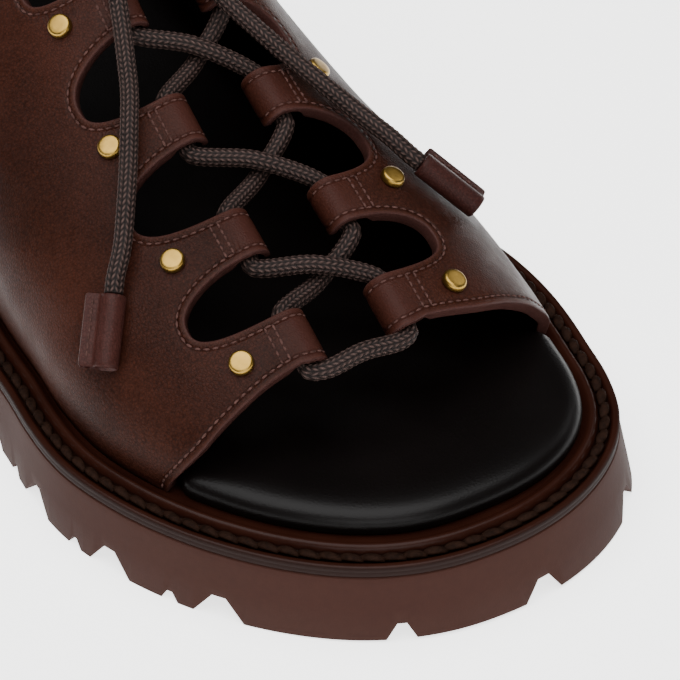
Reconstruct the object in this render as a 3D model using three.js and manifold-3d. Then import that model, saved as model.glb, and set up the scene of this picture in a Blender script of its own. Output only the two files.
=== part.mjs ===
// Chunky open-toe sandal with a leather upper laced through folded loops, right foot, millimetres.
// Toe towards -Y, sole down, medial side towards +X.
import * as THREE from 'three';
import { mergeVertices } from 'three/addons/utils/BufferGeometryUtils.js';
import Module from 'manifold-3d';

const wasm = await Module();
wasm.setup();

// Driving sizes of the shoe
const LENGTH = 270;
const BALL = 107;
const TREAD = 15;
const HEEL_RISE = 15.5;
const TOE_SPRING = 0.8;
const ARCH = 5;
const FLARE = 2.2;
const TREAD_SHIFT = 1.3;
const WELT = 2.7;
const WELT_WIDTH = 12;
const LEDGE = 2.2;
const FEATHER = 7.4;
const WALL = 2.6;
const SHAFT = 84;
const FOOTBED = 5;
const GAP = 0.3;

// Loops, lace and studs
const LACE = 3.5;
const LOOP_R = 4;
const LOOP_BORE = 2.65;
const LOOP_LENGTH = 10.8;
const STUD_D = 4.8;
const STUD_H = 1.7;
const STUD_POST = 2;
const STUD_SEAT = 0.5;
const TIP_D = 5;
const TIP_LENGTH = 14;
const TIP_FLAP = 2.6;

// Outline of the welt from the toe tip, half widths and centre as shares of the ball width
const PLAN = [
  { at: 0, lateral: 0.498, medial: 0.556, centre: 0.056 },
  { at: 0.044, lateral: 0.497, medial: 0.554, centre: 0.045 },
  { at: 0.074, lateral: 0.497, medial: 0.547, centre: 0.034 },
  { at: 0.111, lateral: 0.499, medial: 0.533, centre: 0.019 },
  { at: 0.156, lateral: 0.505, medial: 0.517, centre: 0.005 },
  { at: 0.211, lateral: 0.511, medial: 0.513, centre: -0.007 },
  { at: 0.263, lateral: 0.505, medial: 0.503, centre: -0.014 },
  { at: 0.3, lateral: 0.497, medial: 0.486, centre: -0.018 },
  { at: 0.37, lateral: 0.486, medial: 0.449, centre: -0.028 },
  { at: 0.481, lateral: 0.463, medial: 0.408, centre: -0.033 },
  { at: 0.611, lateral: 0.416, medial: 0.376, centre: -0.037 },
  { at: 0.741, lateral: 0.379, medial: 0.362, centre: -0.037 },
  { at: 0.889, lateral: 0.36, medial: 0.359, centre: -0.037 },
  { at: 1, lateral: 0.355, medial: 0.355, centre: -0.037 },
];

// Rise of the sole's top and lift of its underside, shares of the heel rise and of the arch
const RISE = [
  { at: 0, top: 0 },
  { at: 0.333, top: 0 },
  { at: 0.481, top: 0.226 },
  { at: 0.704, top: 0.742 },
  { at: 1, top: 1 },
];
const WAIST = [
  { at: 0, lift: 0 },
  { at: 0.425, lift: 0 },
  { at: 0.47, lift: 0.85 },
  { at: 0.52, lift: 1 },
  { at: 0.64, lift: 1 },
  { at: 0.668, lift: 0 },
  { at: 1, lift: 0 },
];

// Skin of the upper by height above the feather line: height as a share of the shaft, front,
// back and toe rounding as shares of the length, sides as shares of the feather line's half widths
const SKIN = [
  { up: 0, front: 0.0304, back: 0.9704, lateral: 1.0, medial: 1.0, round: 0.2593, power: 2.15, shoulder: 2.5 },
  { up: 0.06, front: 0.0319, back: 0.9741, lateral: 1.028, medial: 1.02, round: 0.2741, power: 2.15, shoulder: 2.5 },
  { up: 0.143, front: 0.0519, back: 0.9778, lateral: 1.04, medial: 0.985, round: 0.2963, power: 2.1, shoulder: 2.5 },
  { up: 0.238, front: 0.0963, back: 0.9778, lateral: 1.028, medial: 0.945, round: 0.3333, power: 2.05, shoulder: 2.5 },
  { up: 0.357, front: 0.1852, back: 0.9741, lateral: 0.977, medial: 0.885, round: 0.3519, power: 2, shoulder: 2.6 },
  { up: 0.476, front: 0.2963, back: 0.9667, lateral: 0.889, medial: 0.81, round: 0.3519, power: 2, shoulder: 2.6 },
  { up: 0.595, front: 0.3926, back: 0.963, lateral: 0.817, medial: 0.785, round: 0.3333, power: 2, shoulder: 2.6 },
  { up: 0.714, front: 0.4778, back: 0.9556, lateral: 0.776, medial: 0.79, round: 0.2963, power: 2, shoulder: 2.5 },
  { up: 0.833, front: 0.5444, back: 0.9556, lateral: 0.79, medial: 0.83, round: 0.2444, power: 2, shoulder: 2.3 },
  { up: 1.012, front: 0.6037, back: 0.9593, lateral: 0.83, medial: 0.88, round: 0.1852, power: 2, shoulder: 2.1 },
];

// Five pairs of lacing tabs, shares of the length: front and rear edges, then the stud of each side
const TABS = [
  { front: 0.1426, rear: 0.1767, studOut: 0.1604, studIn: 0.1604 },
  { front: 0.2256, rear: 0.2611, studOut: 0.2481, studIn: 0.2515 },
  { front: 0.3226, rear: 0.3589, studOut: 0.3489, studIn: 0.3619 },
  { front: 0.4156, rear: 0.4541, studOut: 0.4426, studIn: 0.45 },
  { front: 0.5056, rear: 0.5444, studOut: 0.5315, studIn: 0.537 },
];

// The same tabs across the shoe, from the throat's middle as shares of the ball width: loop tip,
// studs, and the ends of the cut-outs behind each tab on either side
const THROAT = -0.008 * BALL;
const REACH = [
  { tip: 0.0556, studOut: 0.205, studIn: 0.2125, cutOut: 0.2612, cutIn: 0.234 },
  { tip: 0.0556, studOut: 0.2266, studIn: 0.2135, cutOut: 0.2603, cutIn: 0.214 },
  { tip: 0.0556, studOut: 0.2248, studIn: 0.208, cutOut: 0.2444, cutIn: 0.183 },
  { tip: 0.054, studOut: 0.2089, studIn: 0.204, cutOut: 0.2444, cutIn: 0.183 },
  { tip: 0.054, studOut: 0.198, studIn: 0.199, cutOut: 0, cutIn: 0 },
];

// Edge of the toe opening seen from the side: along the shoe, shares of the length, by height over the ground
const TOE_EDGE = [
  { z: 8, lateral: 0.158, medial: 0.178 },
  { z: 19, lateral: 0.151, medial: 0.1705 },
  { z: 24, lateral: 0.1425, medial: 0.166 },
  { z: 30, lateral: 0.1375, medial: 0.159 },
  { z: 36, lateral: 0.139, medial: 0.15 },
  { z: 41, lateral: 0.141, medial: 0.1415 },
  { z: 60, lateral: 0.141, medial: 0.141 },
];

// Collar line seen from the side, shares of the length and heights over the ground
const COLLAR = [
  { at: 0.46, z: 101 },
  { at: 0.53, z: 97.5 },
  { at: 0.56, z: 93 },
  { at: 0.62, z: 88.5 },
  { at: 0.72, z: 87 },
  { at: 0.84, z: 91 },
  { at: 0.93, z: 97 },
  { at: 1.05, z: 101 },
];

// Side channels of the tread: station, side, width at the ground, depth and reach inward
const CHANNELS = [
  { at: 0.0105, side: -1, width: 6.4, depth: 4.4, reach: 14 },
  { at: 0.087, side: -1, width: 10, depth: 5.2, reach: 24 },
  { at: 0.1645, side: -1, width: 9.5, depth: 5.2, reach: 27 },
  { at: 0.2475, side: -1, width: 9.5, depth: 5.2, reach: 28 },
  { at: 0.33, side: -1, width: 9.5, depth: 5.2, reach: 28 },
  { at: 0.402, side: -1, width: 8, depth: 5.2, reach: 26 },
  { at: 0.0035, side: 1, width: 9, depth: 5.2, reach: 20 },
  { at: 0.052, side: 1, width: 9, depth: 5.2, reach: 24 },
  { at: 0.13, side: 1, width: 9.5, depth: 5.2, reach: 27 },
  { at: 0.212, side: 1, width: 9.5, depth: 5.2, reach: 28 },
  { at: 0.294, side: 1, width: 9.5, depth: 5.2, reach: 26 },
  { at: 0.372, side: 1, width: 9, depth: 5.2, reach: 22 },
  { at: 0.735, side: -1, width: 9.5, depth: 5.2, reach: 20 },
  { at: 0.815, side: -1, width: 9.5, depth: 5.2, reach: 20 },
  { at: 0.9, side: -1, width: 9.5, depth: 5.2, reach: 20 },
  { at: 0.975, side: -1, width: 9, depth: 5.2, reach: 18 },
  { at: 0.735, side: 1, width: 9.5, depth: 5.2, reach: 20 },
  { at: 0.815, side: 1, width: 9.5, depth: 5.2, reach: 20 },
  { at: 0.9, side: 1, width: 9.5, depth: 5.2, reach: 20 },
  { at: 0.975, side: 1, width: 9, depth: 5.2, reach: 18 },
];

// Small nicks in the middle of the side lugs
const NICKS = [
  { at: 0.118, side: -1 },
  { at: 0.197, side: -1 },
  { at: 0.285, side: -1 },
  { at: 0.085, side: 1 },
  { at: 0.168, side: 1 },
  { at: 0.252, side: 1 },
];

// Lengthwise channels that part the middle bars from the side lugs
const RUNS = [
  { from: 0.075, to: 0.415, across: -0.21 },
  { from: 0.075, to: 0.415, across: 0.2 },
  { from: 0.69, to: 0.95, across: -0.17 },
  { from: 0.69, to: 0.95, across: 0.11 },
];

// Monotone cubic through the rows of a table
function curve(rows, from, key) {
  const xs = rows.map((row) => row[from]);
  const ys = rows.map((row) => row[key]);
  const last = xs.length - 1;
  const step = [];
  const rate = [];
  for (let i = 0; i < last; i += 1) {
    step.push(xs[i + 1] - xs[i]);
    rate.push((ys[i + 1] - ys[i]) / step[i]);
  }
  const slope = [];
  for (let i = 0; i <= last; i += 1) {
    if (i === 0 || i === last) {
      slope.push(rate[i === 0 ? 0 : last - 1]);
    } else if (rate[i - 1] * rate[i] <= 0) {
      slope.push(0);
    } else {
      const a = 2 * step[i] + step[i - 1];
      const b = step[i] + 2 * step[i - 1];
      slope.push((a + b) / (a / rate[i - 1] + b / rate[i]));
    }
  }
  return (value) => {
    const x = Math.min(Math.max(value, xs[0]), xs[last]);
    let i = 0;
    while (i < last - 1 && x > xs[i + 1]) i += 1;
    const q = (x - xs[i]) / step[i];
    const p = 1 - q;
    return (
      ys[i] * p * p * (1 + 2 * q) +
      ys[i + 1] * q * q * (3 - 2 * q) +
      slope[i] * step[i] * q * p * p -
      slope[i + 1] * step[i] * q * q * p
    );
  };
}

const lateralShare = curve(PLAN, 'at', 'lateral');
const medialShare = curve(PLAN, 'at', 'medial');
const centreShare = curve(PLAN, 'at', 'centre');
const riseShare = curve(RISE, 'at', 'top');
const waistShare = curve(WAIST, 'at', 'lift');
const skinAt = {
  front: curve(SKIN, 'up', 'front'),
  back: curve(SKIN, 'up', 'back'),
  lateral: curve(SKIN, 'up', 'lateral'),
  medial: curve(SKIN, 'up', 'medial'),
  round: curve(SKIN, 'up', 'round'),
  power: curve(SKIN, 'up', 'power'),
  shoulder: curve(SKIN, 'up', 'shoulder'),
};

const rounded = (left, power) => (1 - Math.min(Math.max(left, 0), 1) ** power) ** (1 / power);
const centre = (u) => BALL * centreShare(u / LENGTH);
const halfWidth = (u, side) => BALL * (side < 0 ? lateralShare(u / LENGTH) : medialShare(u / LENGTH));
const soleTop = (u) => TREAD + HEEL_RISE * riseShare(u / LENGTH);
const footLine = (u) => soleTop(u) + LEDGE + GAP;
function soleBottom(u) {
  const toe = Math.max(1 - u / (0.13 * LENGTH), 0);
  return TOE_SPRING * toe * toe + ARCH * waistShare(u / LENGTH);
}

// A closed solid from points and triangles, turned outward
function solid(points, faces) {
  let volume = 0;
  for (const [a, b, c] of faces) {
    const [p, q, r] = [points[a], points[b], points[c]];
    volume += p[0] * (q[1] * r[2] - q[2] * r[1]);
    volume -= p[1] * (q[0] * r[2] - q[2] * r[0]);
    volume += p[2] * (q[0] * r[1] - q[1] * r[0]);
  }
  const turned = volume < 0 ? faces.map(([a, b, c]) => [a, c, b]) : faces;
  const mesh = new wasm.Mesh({
    numProp: 3,
    vertProperties: Float32Array.from(points.flat()),
    triVerts: Uint32Array.from(turned.flat()),
  });
  return new wasm.Manifold(mesh);
}

// Rings of equal count joined in order; the ends are closed by strips from side to side, or the
// last ring runs on into the first
function stack(rings, loop) {
  const n = rings[0].length;
  const faces = [];
  const pairs = loop ? rings.length : rings.length - 1;
  for (let k = 0; k < pairs; k += 1) {
    const a = k * n;
    const b = ((k + 1) % rings.length) * n;
    for (let i = 0; i < n; i += 1) {
      const j = (i + 1) % n;
      faces.push([a + i, a + j, b + j], [a + i, b + j, b + i]);
    }
  }
  if (!loop) {
    const top = (rings.length - 1) * n;
    const half = n / 2;
    for (let i = 0; i < half; i += 1) {
      const p = i;
      const q = i + 1;
      const r = (n - i - 1) % n;
      const s = (n - i) % n;
      if (i > 0) faces.push([p, s, q], [top + p, top + q, top + s]);
      if (q !== r) faces.push([q, s === p ? p : s, r], [top + q, top + r, top + (s === p ? p : s)]);
    }
  }
  return solid(rings.flat(), faces);
}

// Outline of the welt as a closed ring of plan points: lateral side to the heel, medial side back
const STATIONS = 24;
function planRing() {
  const ring = [];
  for (let i = 0; i <= STATIONS; i += 1) ring.push([i, -1]);
  for (let i = STATIONS - 1; i > 0; i -= 1) ring.push([i, 1]);
  return ring.map(([i, side]) => {
    const u = (LENGTH * (1 - Math.cos((Math.PI * i) / STATIONS))) / 2;
    const toe = rounded(1 - u / (0.2667 * LENGTH), 2.15);
    const heel = rounded(1 - (LENGTH - u) / (0.148 * LENGTH), 2.2);
    return [centre(u) + side * halfWidth(u, side) * toe * heel, u];
  });
}

// A plan ring moved inward along its normals
function inset(ring, by) {
  const n = ring.length;
  return ring.map(([x, u], i) => {
    const [ax, au] = ring[(i + n - 1) % n];
    const [bx, bu] = ring[(i + 1) % n];
    const size = Math.hypot(bx - ax, bu - au);
    const amount = typeof by === 'function' ? by(u, x < centre(u) ? -1 : 1) : by;
    return [x + ((bu - au) / size) * amount, u - ((bx - ax) / size) * amount];
  });
}

const raise = (ring, height, shift = 0) =>
  ring.map(([x, u]) => [x + shift, u - LENGTH / 2, height(Math.min(Math.max(u, 0), LENGTH))]);

// A point of the skin: share from front to back, height over the feather line, side
function skin(t, h, side) {
  const up = h / SHAFT;
  const front = LENGTH * skinAt.front(up);
  const back = LENGTH * skinAt.back(up);
  const u = front + ((back - front) * (1 - Math.cos(Math.PI * t))) / 2;
  return [skinX(u, h, side), u - LENGTH / 2, footLine(u) + h];
}
function skinX(u, h, side) {
  const up = h / SHAFT;
  const front = LENGTH * skinAt.front(up);
  const back = LENGTH * skinAt.back(up);
  const power = side < 0 ? skinAt.power(up) : skinAt.shoulder(up);
  const toe = rounded(1 - (u - front) / (LENGTH * skinAt.round(up)), power);
  const heel = rounded(1 - (back - u) / (0.1407 * LENGTH), 2.1);
  const share = side < 0 ? skinAt.lateral(up) : skinAt.medial(up);
  return centre(u) + side * (halfWidth(u, side) - FEATHER) * share * toe * heel;
}

function skinNormal(t, h, side) {
  const e = 0.004;
  const a = new THREE.Vector3(...skin(Math.max(t - e, 0), h, side));
  const b = new THREE.Vector3(...skin(Math.min(t + e, 1), h, side));
  if (t < e) a.x = 2 * centre(a.y + LENGTH / 2) - b.x;
  if (t > 1 - e) b.x = 2 * centre(b.y + LENGTH / 2) - a.x;
  if (t < e) a.y = b.y;
  if (t > 1 - e) b.y = a.y;
  const c = new THREE.Vector3(...skin(t, Math.max(h - 0.5, 0), side));
  const d = new THREE.Vector3(...skin(t, h + 0.5, side));
  return b.sub(a).cross(d.sub(c)).multiplyScalar(side).normalize();
}

const LEVELS = [0, 5, 11, 18, 25, 31.5, 37.5, 44, 51, 59, 69, 84];
function skinRing(h, depth) {
  const ring = [];
  for (let i = 0; i <= STATIONS; i += 1) ring.push([i / STATIONS, -1]);
  for (let i = STATIONS - 1; i > 0; i -= 1) ring.push([i / STATIONS, 1]);
  return ring.map(([t, side]) => {
    const p = skin(t, h, side);
    const n = skinNormal(t, h, side);
    return [p[0] - n.x * depth, p[1] - n.y * depth, p[2] - n.z * depth];
  });
}

// The skin's point over a place in plan, found from the ridge down
function onSkin(x, u) {
  const side = x < centre(u) ? -1 : 1;
  const reach = (h) => side * (skinX(u, h, side) - centre(u)) - Math.abs(x - centre(u));
  let high = SHAFT;
  while (high > 0 && reach(high) < 0) high -= 1;
  let low = high;
  high += 1;
  for (let i = 0; i < 30; i += 1) {
    const middle = (low + high) / 2;
    if (reach(middle) < 0) high = middle;
    else low = middle;
  }
  return new THREE.Vector3(x, u - LENGTH / 2, footLine(u) + low);
}
function normalOver(x, u) {
  const side = Math.sign(x - centre(u));
  const a = onSkin(x - side * 1.2, u);
  const b = onSkin(x + side * 1.2, u);
  const c = onSkin(x, u - 1.2);
  const d = onSkin(x, u + 1.2);
  return b.sub(a).cross(d.sub(c)).multiplyScalar(side).normalize();
}

const turn = (axis) => new THREE.Quaternion().setFromUnitVectors(new THREE.Vector3(0, 1, 0), axis);
function fromGeometry(geometry) {
  geometry.deleteAttribute('normal');
  geometry.deleteAttribute('uv');
  const merged = mergeVertices(geometry, 1e-4);
  const place = merged.getAttribute('position');
  const points = [];
  for (let i = 0; i < place.count; i += 1) points.push([place.getX(i), place.getY(i), place.getZ(i)]);
  const index = merged.getIndex().array;
  const faces = [];
  for (let i = 0; i < index.length; i += 3) faces.push([index[i], index[i + 1], index[i + 2]]);
  return solid(points, faces.filter(([a, b, c]) => a !== b && b !== c && c !== a));
}
function rod(at, axis, radius, length, sides) {
  const geometry = new THREE.CylinderGeometry(radius, radius, length, sides);
  geometry.applyQuaternion(turn(axis));
  geometry.translate(at.x, at.y, at.z);
  return fromGeometry(geometry);
}

// A prism from a plan polygon laid on a surface and pushed both ways along a direction
function prism(places, lower, upper) {
  const flat = places.map((p) => new THREE.Vector2(p[0], p[1]));
  const caps = THREE.ShapeUtils.triangulateShape(flat, []);
  const n = places.length;
  const points = [...places.map((p) => lower(p)), ...places.map((p) => upper(p))];
  const faces = [];
  for (let i = 0; i < n; i += 1) {
    const j = (i + 1) % n;
    faces.push([i, j, n + j], [i, n + j, n + i]);
  }
  const whole = Math.sign(THREE.ShapeUtils.area(flat));
  for (const [a, b, c] of caps) {
    const same = Math.sign(THREE.ShapeUtils.area([flat[a], flat[b], flat[c]])) === whole;
    const [p, q] = same ? [b, c] : [c, b];
    faces.push([a, q, p], [n + a, n + p, n + q]);
  }
  return solid(points, faces);
}

// The outsole: a flared block with spring, arch and heel, then its channels
const outline = planRing();
function outsole() {
  let body = stack(
    [
      raise(inset(outline, -FLARE), soleBottom, TREAD_SHIFT),
      raise(inset(outline, -0.1), soleTop),
    ],
    false,
  );
  const cutters = [];
  const place = (at, side) => {
    const u = at * LENGTH;
    const toe = rounded(1 - u / (0.2667 * LENGTH), 2.15);
    const heel = rounded(1 - (LENGTH - u) / (0.148 * LENGTH), 2.2);
    return new THREE.Vector3(centre(u) + side * halfWidth(u, side) * toe * heel, u - LENGTH / 2, 0);
  };
  const groove = (from, to, width, depth) => {
    const across = new THREE.Vector3().subVectors(to, from).setZ(0).normalize();
    across.set(-across.y, across.x, 0);
    const rings = [from, to].map((p) =>
      [
        [-width * 0.62, -1.2],
        [width * 0.62, -1.2],
        [width * 0.14, depth],
        [-width * 0.14, depth],
      ].map(([a, z]) => [p.x + across.x * a, p.y + across.y * a, z]),
    );
    cutters.push(stack(rings, false));
  };
  const side = (row, width, depth, reach) => {
    const here = place(row.at, row.side);
    const ahead = place(Math.min(row.at + 0.004, 1), row.side);
    const before = place(Math.max(row.at - 0.004, 0), row.side);
    const along = ahead.sub(before).normalize();
    const inward = new THREE.Vector3(-row.side * along.y, row.side * along.x, 0);
    const from = here.clone().addScaledVector(inward, -6);
    groove(from, here.clone().addScaledVector(inward, reach), width, depth);
  };
  for (const row of CHANNELS) side(row, row.width, row.depth, row.reach);
  for (const row of NICKS) side(row, 4, 2.2, 5);
  for (const row of RUNS) {
    const x = row.across * BALL;
    const a = new THREE.Vector3(x, (row.from - 0.5) * LENGTH, 0);
    const b = new THREE.Vector3(x * 0.82, (row.to - 0.5) * LENGTH, 0);
    groove(a, b, 6, 4.2);
  }
  for (const at of [0.14, 0.21, 0.28, 0.35, 0.78, 0.86]) {
    const reach = at > 0.5 ? 14 : 20;
    const a = new THREE.Vector3(-reach - 3, (at - 0.5) * LENGTH, 0);
    const b = new THREE.Vector3(reach - 3, (at + 0.02 - 0.5) * LENGTH, 0);
    groove(a, b, 6, 4.2);
  }
  for (const cutter of cutters) body = body.subtract(cutter);
  return body;
}

// The welt: rim, stitch channel, rounded rib and the ledge that carries the upper
function welt() {
  const profile = [
    [WELT_WIDTH, GAP],
    [0, GAP],
    [0, WELT - 0.3],
    [0.35, WELT],
    [1.4, WELT],
    [1.9, WELT - 0.8],
    [4.1, WELT - 0.8],
    [4.5, WELT + 0.3],
    [5.1, WELT + 1],
    [5.8, WELT + 0.8],
    [6.6, LEDGE + 0.2],
    [7, LEDGE],
    [WELT_WIDTH, LEDGE],
  ];
  return stack(
    profile.map(([d, z]) => raise(inset(outline, d), (u) => soleTop(u) + z)),
    true,
  );
}

// The footbed: a step inside the welt and a rounded pad that reaches out over the ledge at the toe
function footbed() {
  const feather = skinRing(0, 0).map(([x, y]) => [x, y + LENGTH / 2]);
  const edge = (extra) => (u, side) => {
    const open = LENGTH * (side < 0 ? TOE_EDGE[1].lateral : TOE_EDGE[1].medial);
    const k = Math.min(Math.max((u - (open - 10.5)) / 5, 0), 1);
    return 0.5 + (WALL + 0.7) * k * k * (3 - 2 * k) + extra;
  };
  const step = inset(outline, WELT_WIDTH + 0.4);
  const profile = [
    [0, 0],
    [-0.1, 2.2],
    [0.5, 3.4],
    [1.5, 4.3],
    [3.2, FOOTBED - 0.2],
    [5.5, FOOTBED],
    [12, FOOTBED - 0.5],
  ];
  return stack(
    [
      raise(step, (u) => soleTop(u) + GAP),
      raise(step, footLine),
      ...profile.map(([d, z]) => raise(inset(feather, edge(d)), (u) => footLine(u) + z)),
    ],
    false,
  );
}

// Loop of a tab: its middle and its axis
function loopAt(row, i, side) {
  const u = ((row.front + row.rear) / 2) * LENGTH;
  const x = THROAT + side * (REACH[i].tip * BALL + LOOP_R * 1.25);
  const n = normalOver(x, u);
  const on = onSkin(x, u);
  const axis = onSkin(x, u + 4).sub(onSkin(x, u - 4)).normalize();
  return { on, n, axis, at: on.clone().addScaledVector(n, -LOOP_R), side };
}
const loops = {
  lateral: TABS.map((row, i) => loopAt(row, i, -1)),
  medial: TABS.map((row, i) => loopAt(row, i, 1)),
};

// Cut of the throat on one side: tab ends and the rounded cut-outs between the tabs
function throatCut(side) {
  const end = (i) => THROAT + side * (REACH[i].tip * BALL + LOOP_R * 1.1);
  const places = [];
  places.push([THROAT - side * 3, 0.11 * LENGTH]);
  places.push([end(0), 0.11 * LENGTH]);
  TABS.forEach((row, i) => {
    places.push([end(i), row.rear * LENGTH]);
    const next = TABS[i + 1];
    if (!next) return;
    const from = row.rear * LENGTH;
    const to = next.front * LENGTH;
    const mouth = (end(i) + end(i + 1)) / 2;
    const depth = THROAT + side * BALL * (side < 0 ? REACH[i].cutOut : REACH[i].cutIn) - mouth;
    for (let k = 1; k < 8; k += 1) {
      const a = Math.PI * (k / 8 - 0.5);
      const out = Math.abs(Math.cos(a)) ** 0.8;
      const along = Math.sign(Math.sin(a)) * Math.abs(Math.sin(a)) ** 0.8;
      places.push([mouth + depth * out, (from + to) / 2 + ((to - from) / 2) * along]);
    }
    places.push([end(i + 1), to]);
  });
  places.push([end(4), 0.575 * LENGTH]);
  places.push([THROAT - side * 3, 0.575 * LENGTH]);
  for (let k = 1; k < 8; k += 1) places.push([THROAT - side * 3, (0.575 - (k / 8) * 0.465) * LENGTH]);
  const d = new THREE.Vector3(side * 0.4, -0.34, 0.85).normalize();
  const push = (p, amount) => onSkin(p[0], p[1]).addScaledVector(d, amount).toArray();
  return prism(
    places,
    (p) => push(p, -9),
    (p) => push(p, 9),
  );
}

// A slab across the shoe cut from a side-view polygon of stations and heights
function slab(side, rows) {
  const places = rows.map(([u, z]) => [u - LENGTH / 2, z]);
  return prism(
    places,
    (p) => [side < 0 ? -BALL : THROAT, p[0], p[1]],
    (p) => [side > 0 ? BALL : side < 0 ? THROAT + 0.01 : BALL, p[0], p[1]],
  );
}

function upper() {
  let shell = stack(LEVELS.map((h) => skinRing(h, 0)), false);
  const inside = LEVELS.map((h) => skinRing(h, WALL));
  const floor = inside[0].map(([x, y, z]) => [x, y, z - 6]);
  const roof = inside[inside.length - 1].map(([x, y, z]) => [x, y, z + 6]);
  shell = shell.subtract(stack([floor, ...inside, roof], false));
  for (const side of [-1, 1]) {
    const key = side < 0 ? 'lateral' : 'medial';
    const edge = TOE_EDGE.map((row) => [row[key] * LENGTH, row.z]);
    shell = shell.subtract(slab(side, [[-10, 8], ...edge, [-10, 60]]));
    shell = shell.subtract(throatCut(side));
  }
  const collar = curve(COLLAR, 'at', 'z');
  const line = [];
  for (let k = 0; k <= 16; k += 1) {
    const at = 0.46 + (k / 16) * 0.59;
    line.push([at * LENGTH, collar(at)]);
  }
  shell = shell.subtract(
    prism(
      [...line, [1.05 * LENGTH, 150], [0.46 * LENGTH, 150]].map(([u, z]) => [u - LENGTH / 2, z]),
      (p) => [-BALL, p[0], p[1]],
      (p) => [BALL, p[0], p[1]],
    ),
  );
  const all = [...loops.lateral, ...loops.medial];
  for (const loop of all) shell = shell.add(rod(loop.at, loop.axis, LOOP_R, LOOP_LENGTH, 12));
  for (const loop of all) shell = shell.subtract(rod(loop.at, loop.axis, LOOP_BORE, LOOP_LENGTH + 8, 10));
  for (const stud of studs()) shell = shell.subtract(rod(stud.on, stud.n, STUD_POST / 2 + GAP, 12, 8));
  return shell;
}

function studs() {
  const list = [];
  TABS.forEach((row, i) => {
    for (const side of [-1, 1]) {
      const x = THROAT + side * BALL * (side < 0 ? REACH[i].studOut : REACH[i].studIn);
      const u = LENGTH * (side < 0 ? row.studOut : row.studIn);
      const name = `stud_${side < 0 ? 'lateral' : 'medial'}_${i + 1}`;
      list.push({ name, on: onSkin(x, u), n: normalOver(x, u) });
    }
  });
  return list;
}
function stud(row) {
  const r = STUD_D / 2;
  const p = STUD_POST / 2;
  const profile = [
    [0, -WALL],
    [p, -WALL],
    [p, STUD_SEAT],
    [r, STUD_SEAT],
    [r, STUD_H - 0.35],
    [r - 0.4, STUD_H],
    [0, STUD_H],
  ].map(([x, y]) => new THREE.Vector2(x, y));
  const geometry = new THREE.LatheGeometry(profile, 8);
  geometry.applyQuaternion(turn(row.n));
  geometry.translate(row.on.x, row.on.y, row.on.z);
  return fromGeometry(geometry);
}

// A round cord along hand-placed points
function cord(points, diameter, steps, sides) {
  const shape = new THREE.Shape();
  for (let i = 0; i <= sides; i += 1) {
    const a = (2 * Math.PI * (i % sides)) / sides;
    const [x, y] = [(Math.cos(a) * diameter) / 2, (Math.sin(a) * diameter) / 2];
    if (i === 0) shape.moveTo(x, y);
    else shape.lineTo(x, y);
  }
  const path = new THREE.CatmullRomCurve3(points, false, 'centripetal');
  return fromGeometry(new THREE.ExtrudeGeometry(shape, { steps, extrudePath: path, curveSegments: 1 }));
}

// The lace between the loops: the bar over the toe and the crossings, in one run through all loops;
// at the top pair it turns back and comes down through the loop
const TURN = [
  { along: -1.5, out: 0.32 },
  { along: 3.4, out: 0.4 },
  { along: 5.8, out: 0.68 },
  { along: 3.6, out: 0.96 },
  { along: 0.8, out: 1 },
  { along: -3, out: 1 },
];
function crossings() {
  const ends = (loop) => ({
    front: loop.at.clone().addScaledVector(loop.axis, -LOOP_LENGTH / 2),
    rear: loop.at.clone().addScaledVector(loop.axis, LOOP_LENGTH / 2),
    axis: loop.axis,
  });
  const out = loops.lateral.map(ends);
  const into = loops.medial.map(ends);
  const half = (first, second) => {
    const points = [];
    for (let i = 0; i < 4; i += 1) {
      const here = i % 2 === 0 ? first[i] : second[i];
      const next = i % 2 === 0 ? second[i + 1] : first[i + 1];
      if (i > 0) points.push(here.front.clone().addScaledVector(here.axis, -0.8));
      points.push(here.front.clone().addScaledVector(here.axis, 2));
      points.push(here.rear.clone().addScaledVector(here.axis, -2));
      points.push(here.rear.clone().addScaledVector(here.axis, 0.8));
      const middle = here.rear.clone().add(i < 3 ? next.front : next.rear).multiplyScalar(0.5);
      middle.z += ((first === into) === (i % 2 === 0) ? 1 : -1) * LACE * 0.62;
      points.push(middle);
    }
    const top = first[4];
    for (const row of TURN) {
      const p = top.rear.clone().addScaledVector(top.axis, row.along);
      p.x = THROAT + (top.rear.x - THROAT) * row.out;
      points.push(p);
    }
    points.push(top.rear.clone().addScaledVector(top.axis, -LOOP_LENGTH / 2));
    return points;
  };
  const left = half(out, into);
  const right = half(into, out);
  const a = out[0].front;
  const b = into[0].front;
  const ahead = out[0].axis.clone().add(into[0].axis).normalize();
  const bar = [0.13, 0.5, 0.87].map((k) => {
    const bow = 1 - (2 * k - 1) ** 2;
    const point = a.clone().lerp(b, k).addScaledVector(ahead, -2.5);
    point.z += 1.6 * bow;
    return point;
  });
  const turns = [out[0], into[0]].map((end) => end.front.clone().addScaledVector(end.axis, -0.9));
  const path = [...left.reverse(), turns[0], ...bar, turns[1], ...right];
  return cord(path, LACE, 86, 8);
}

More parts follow.
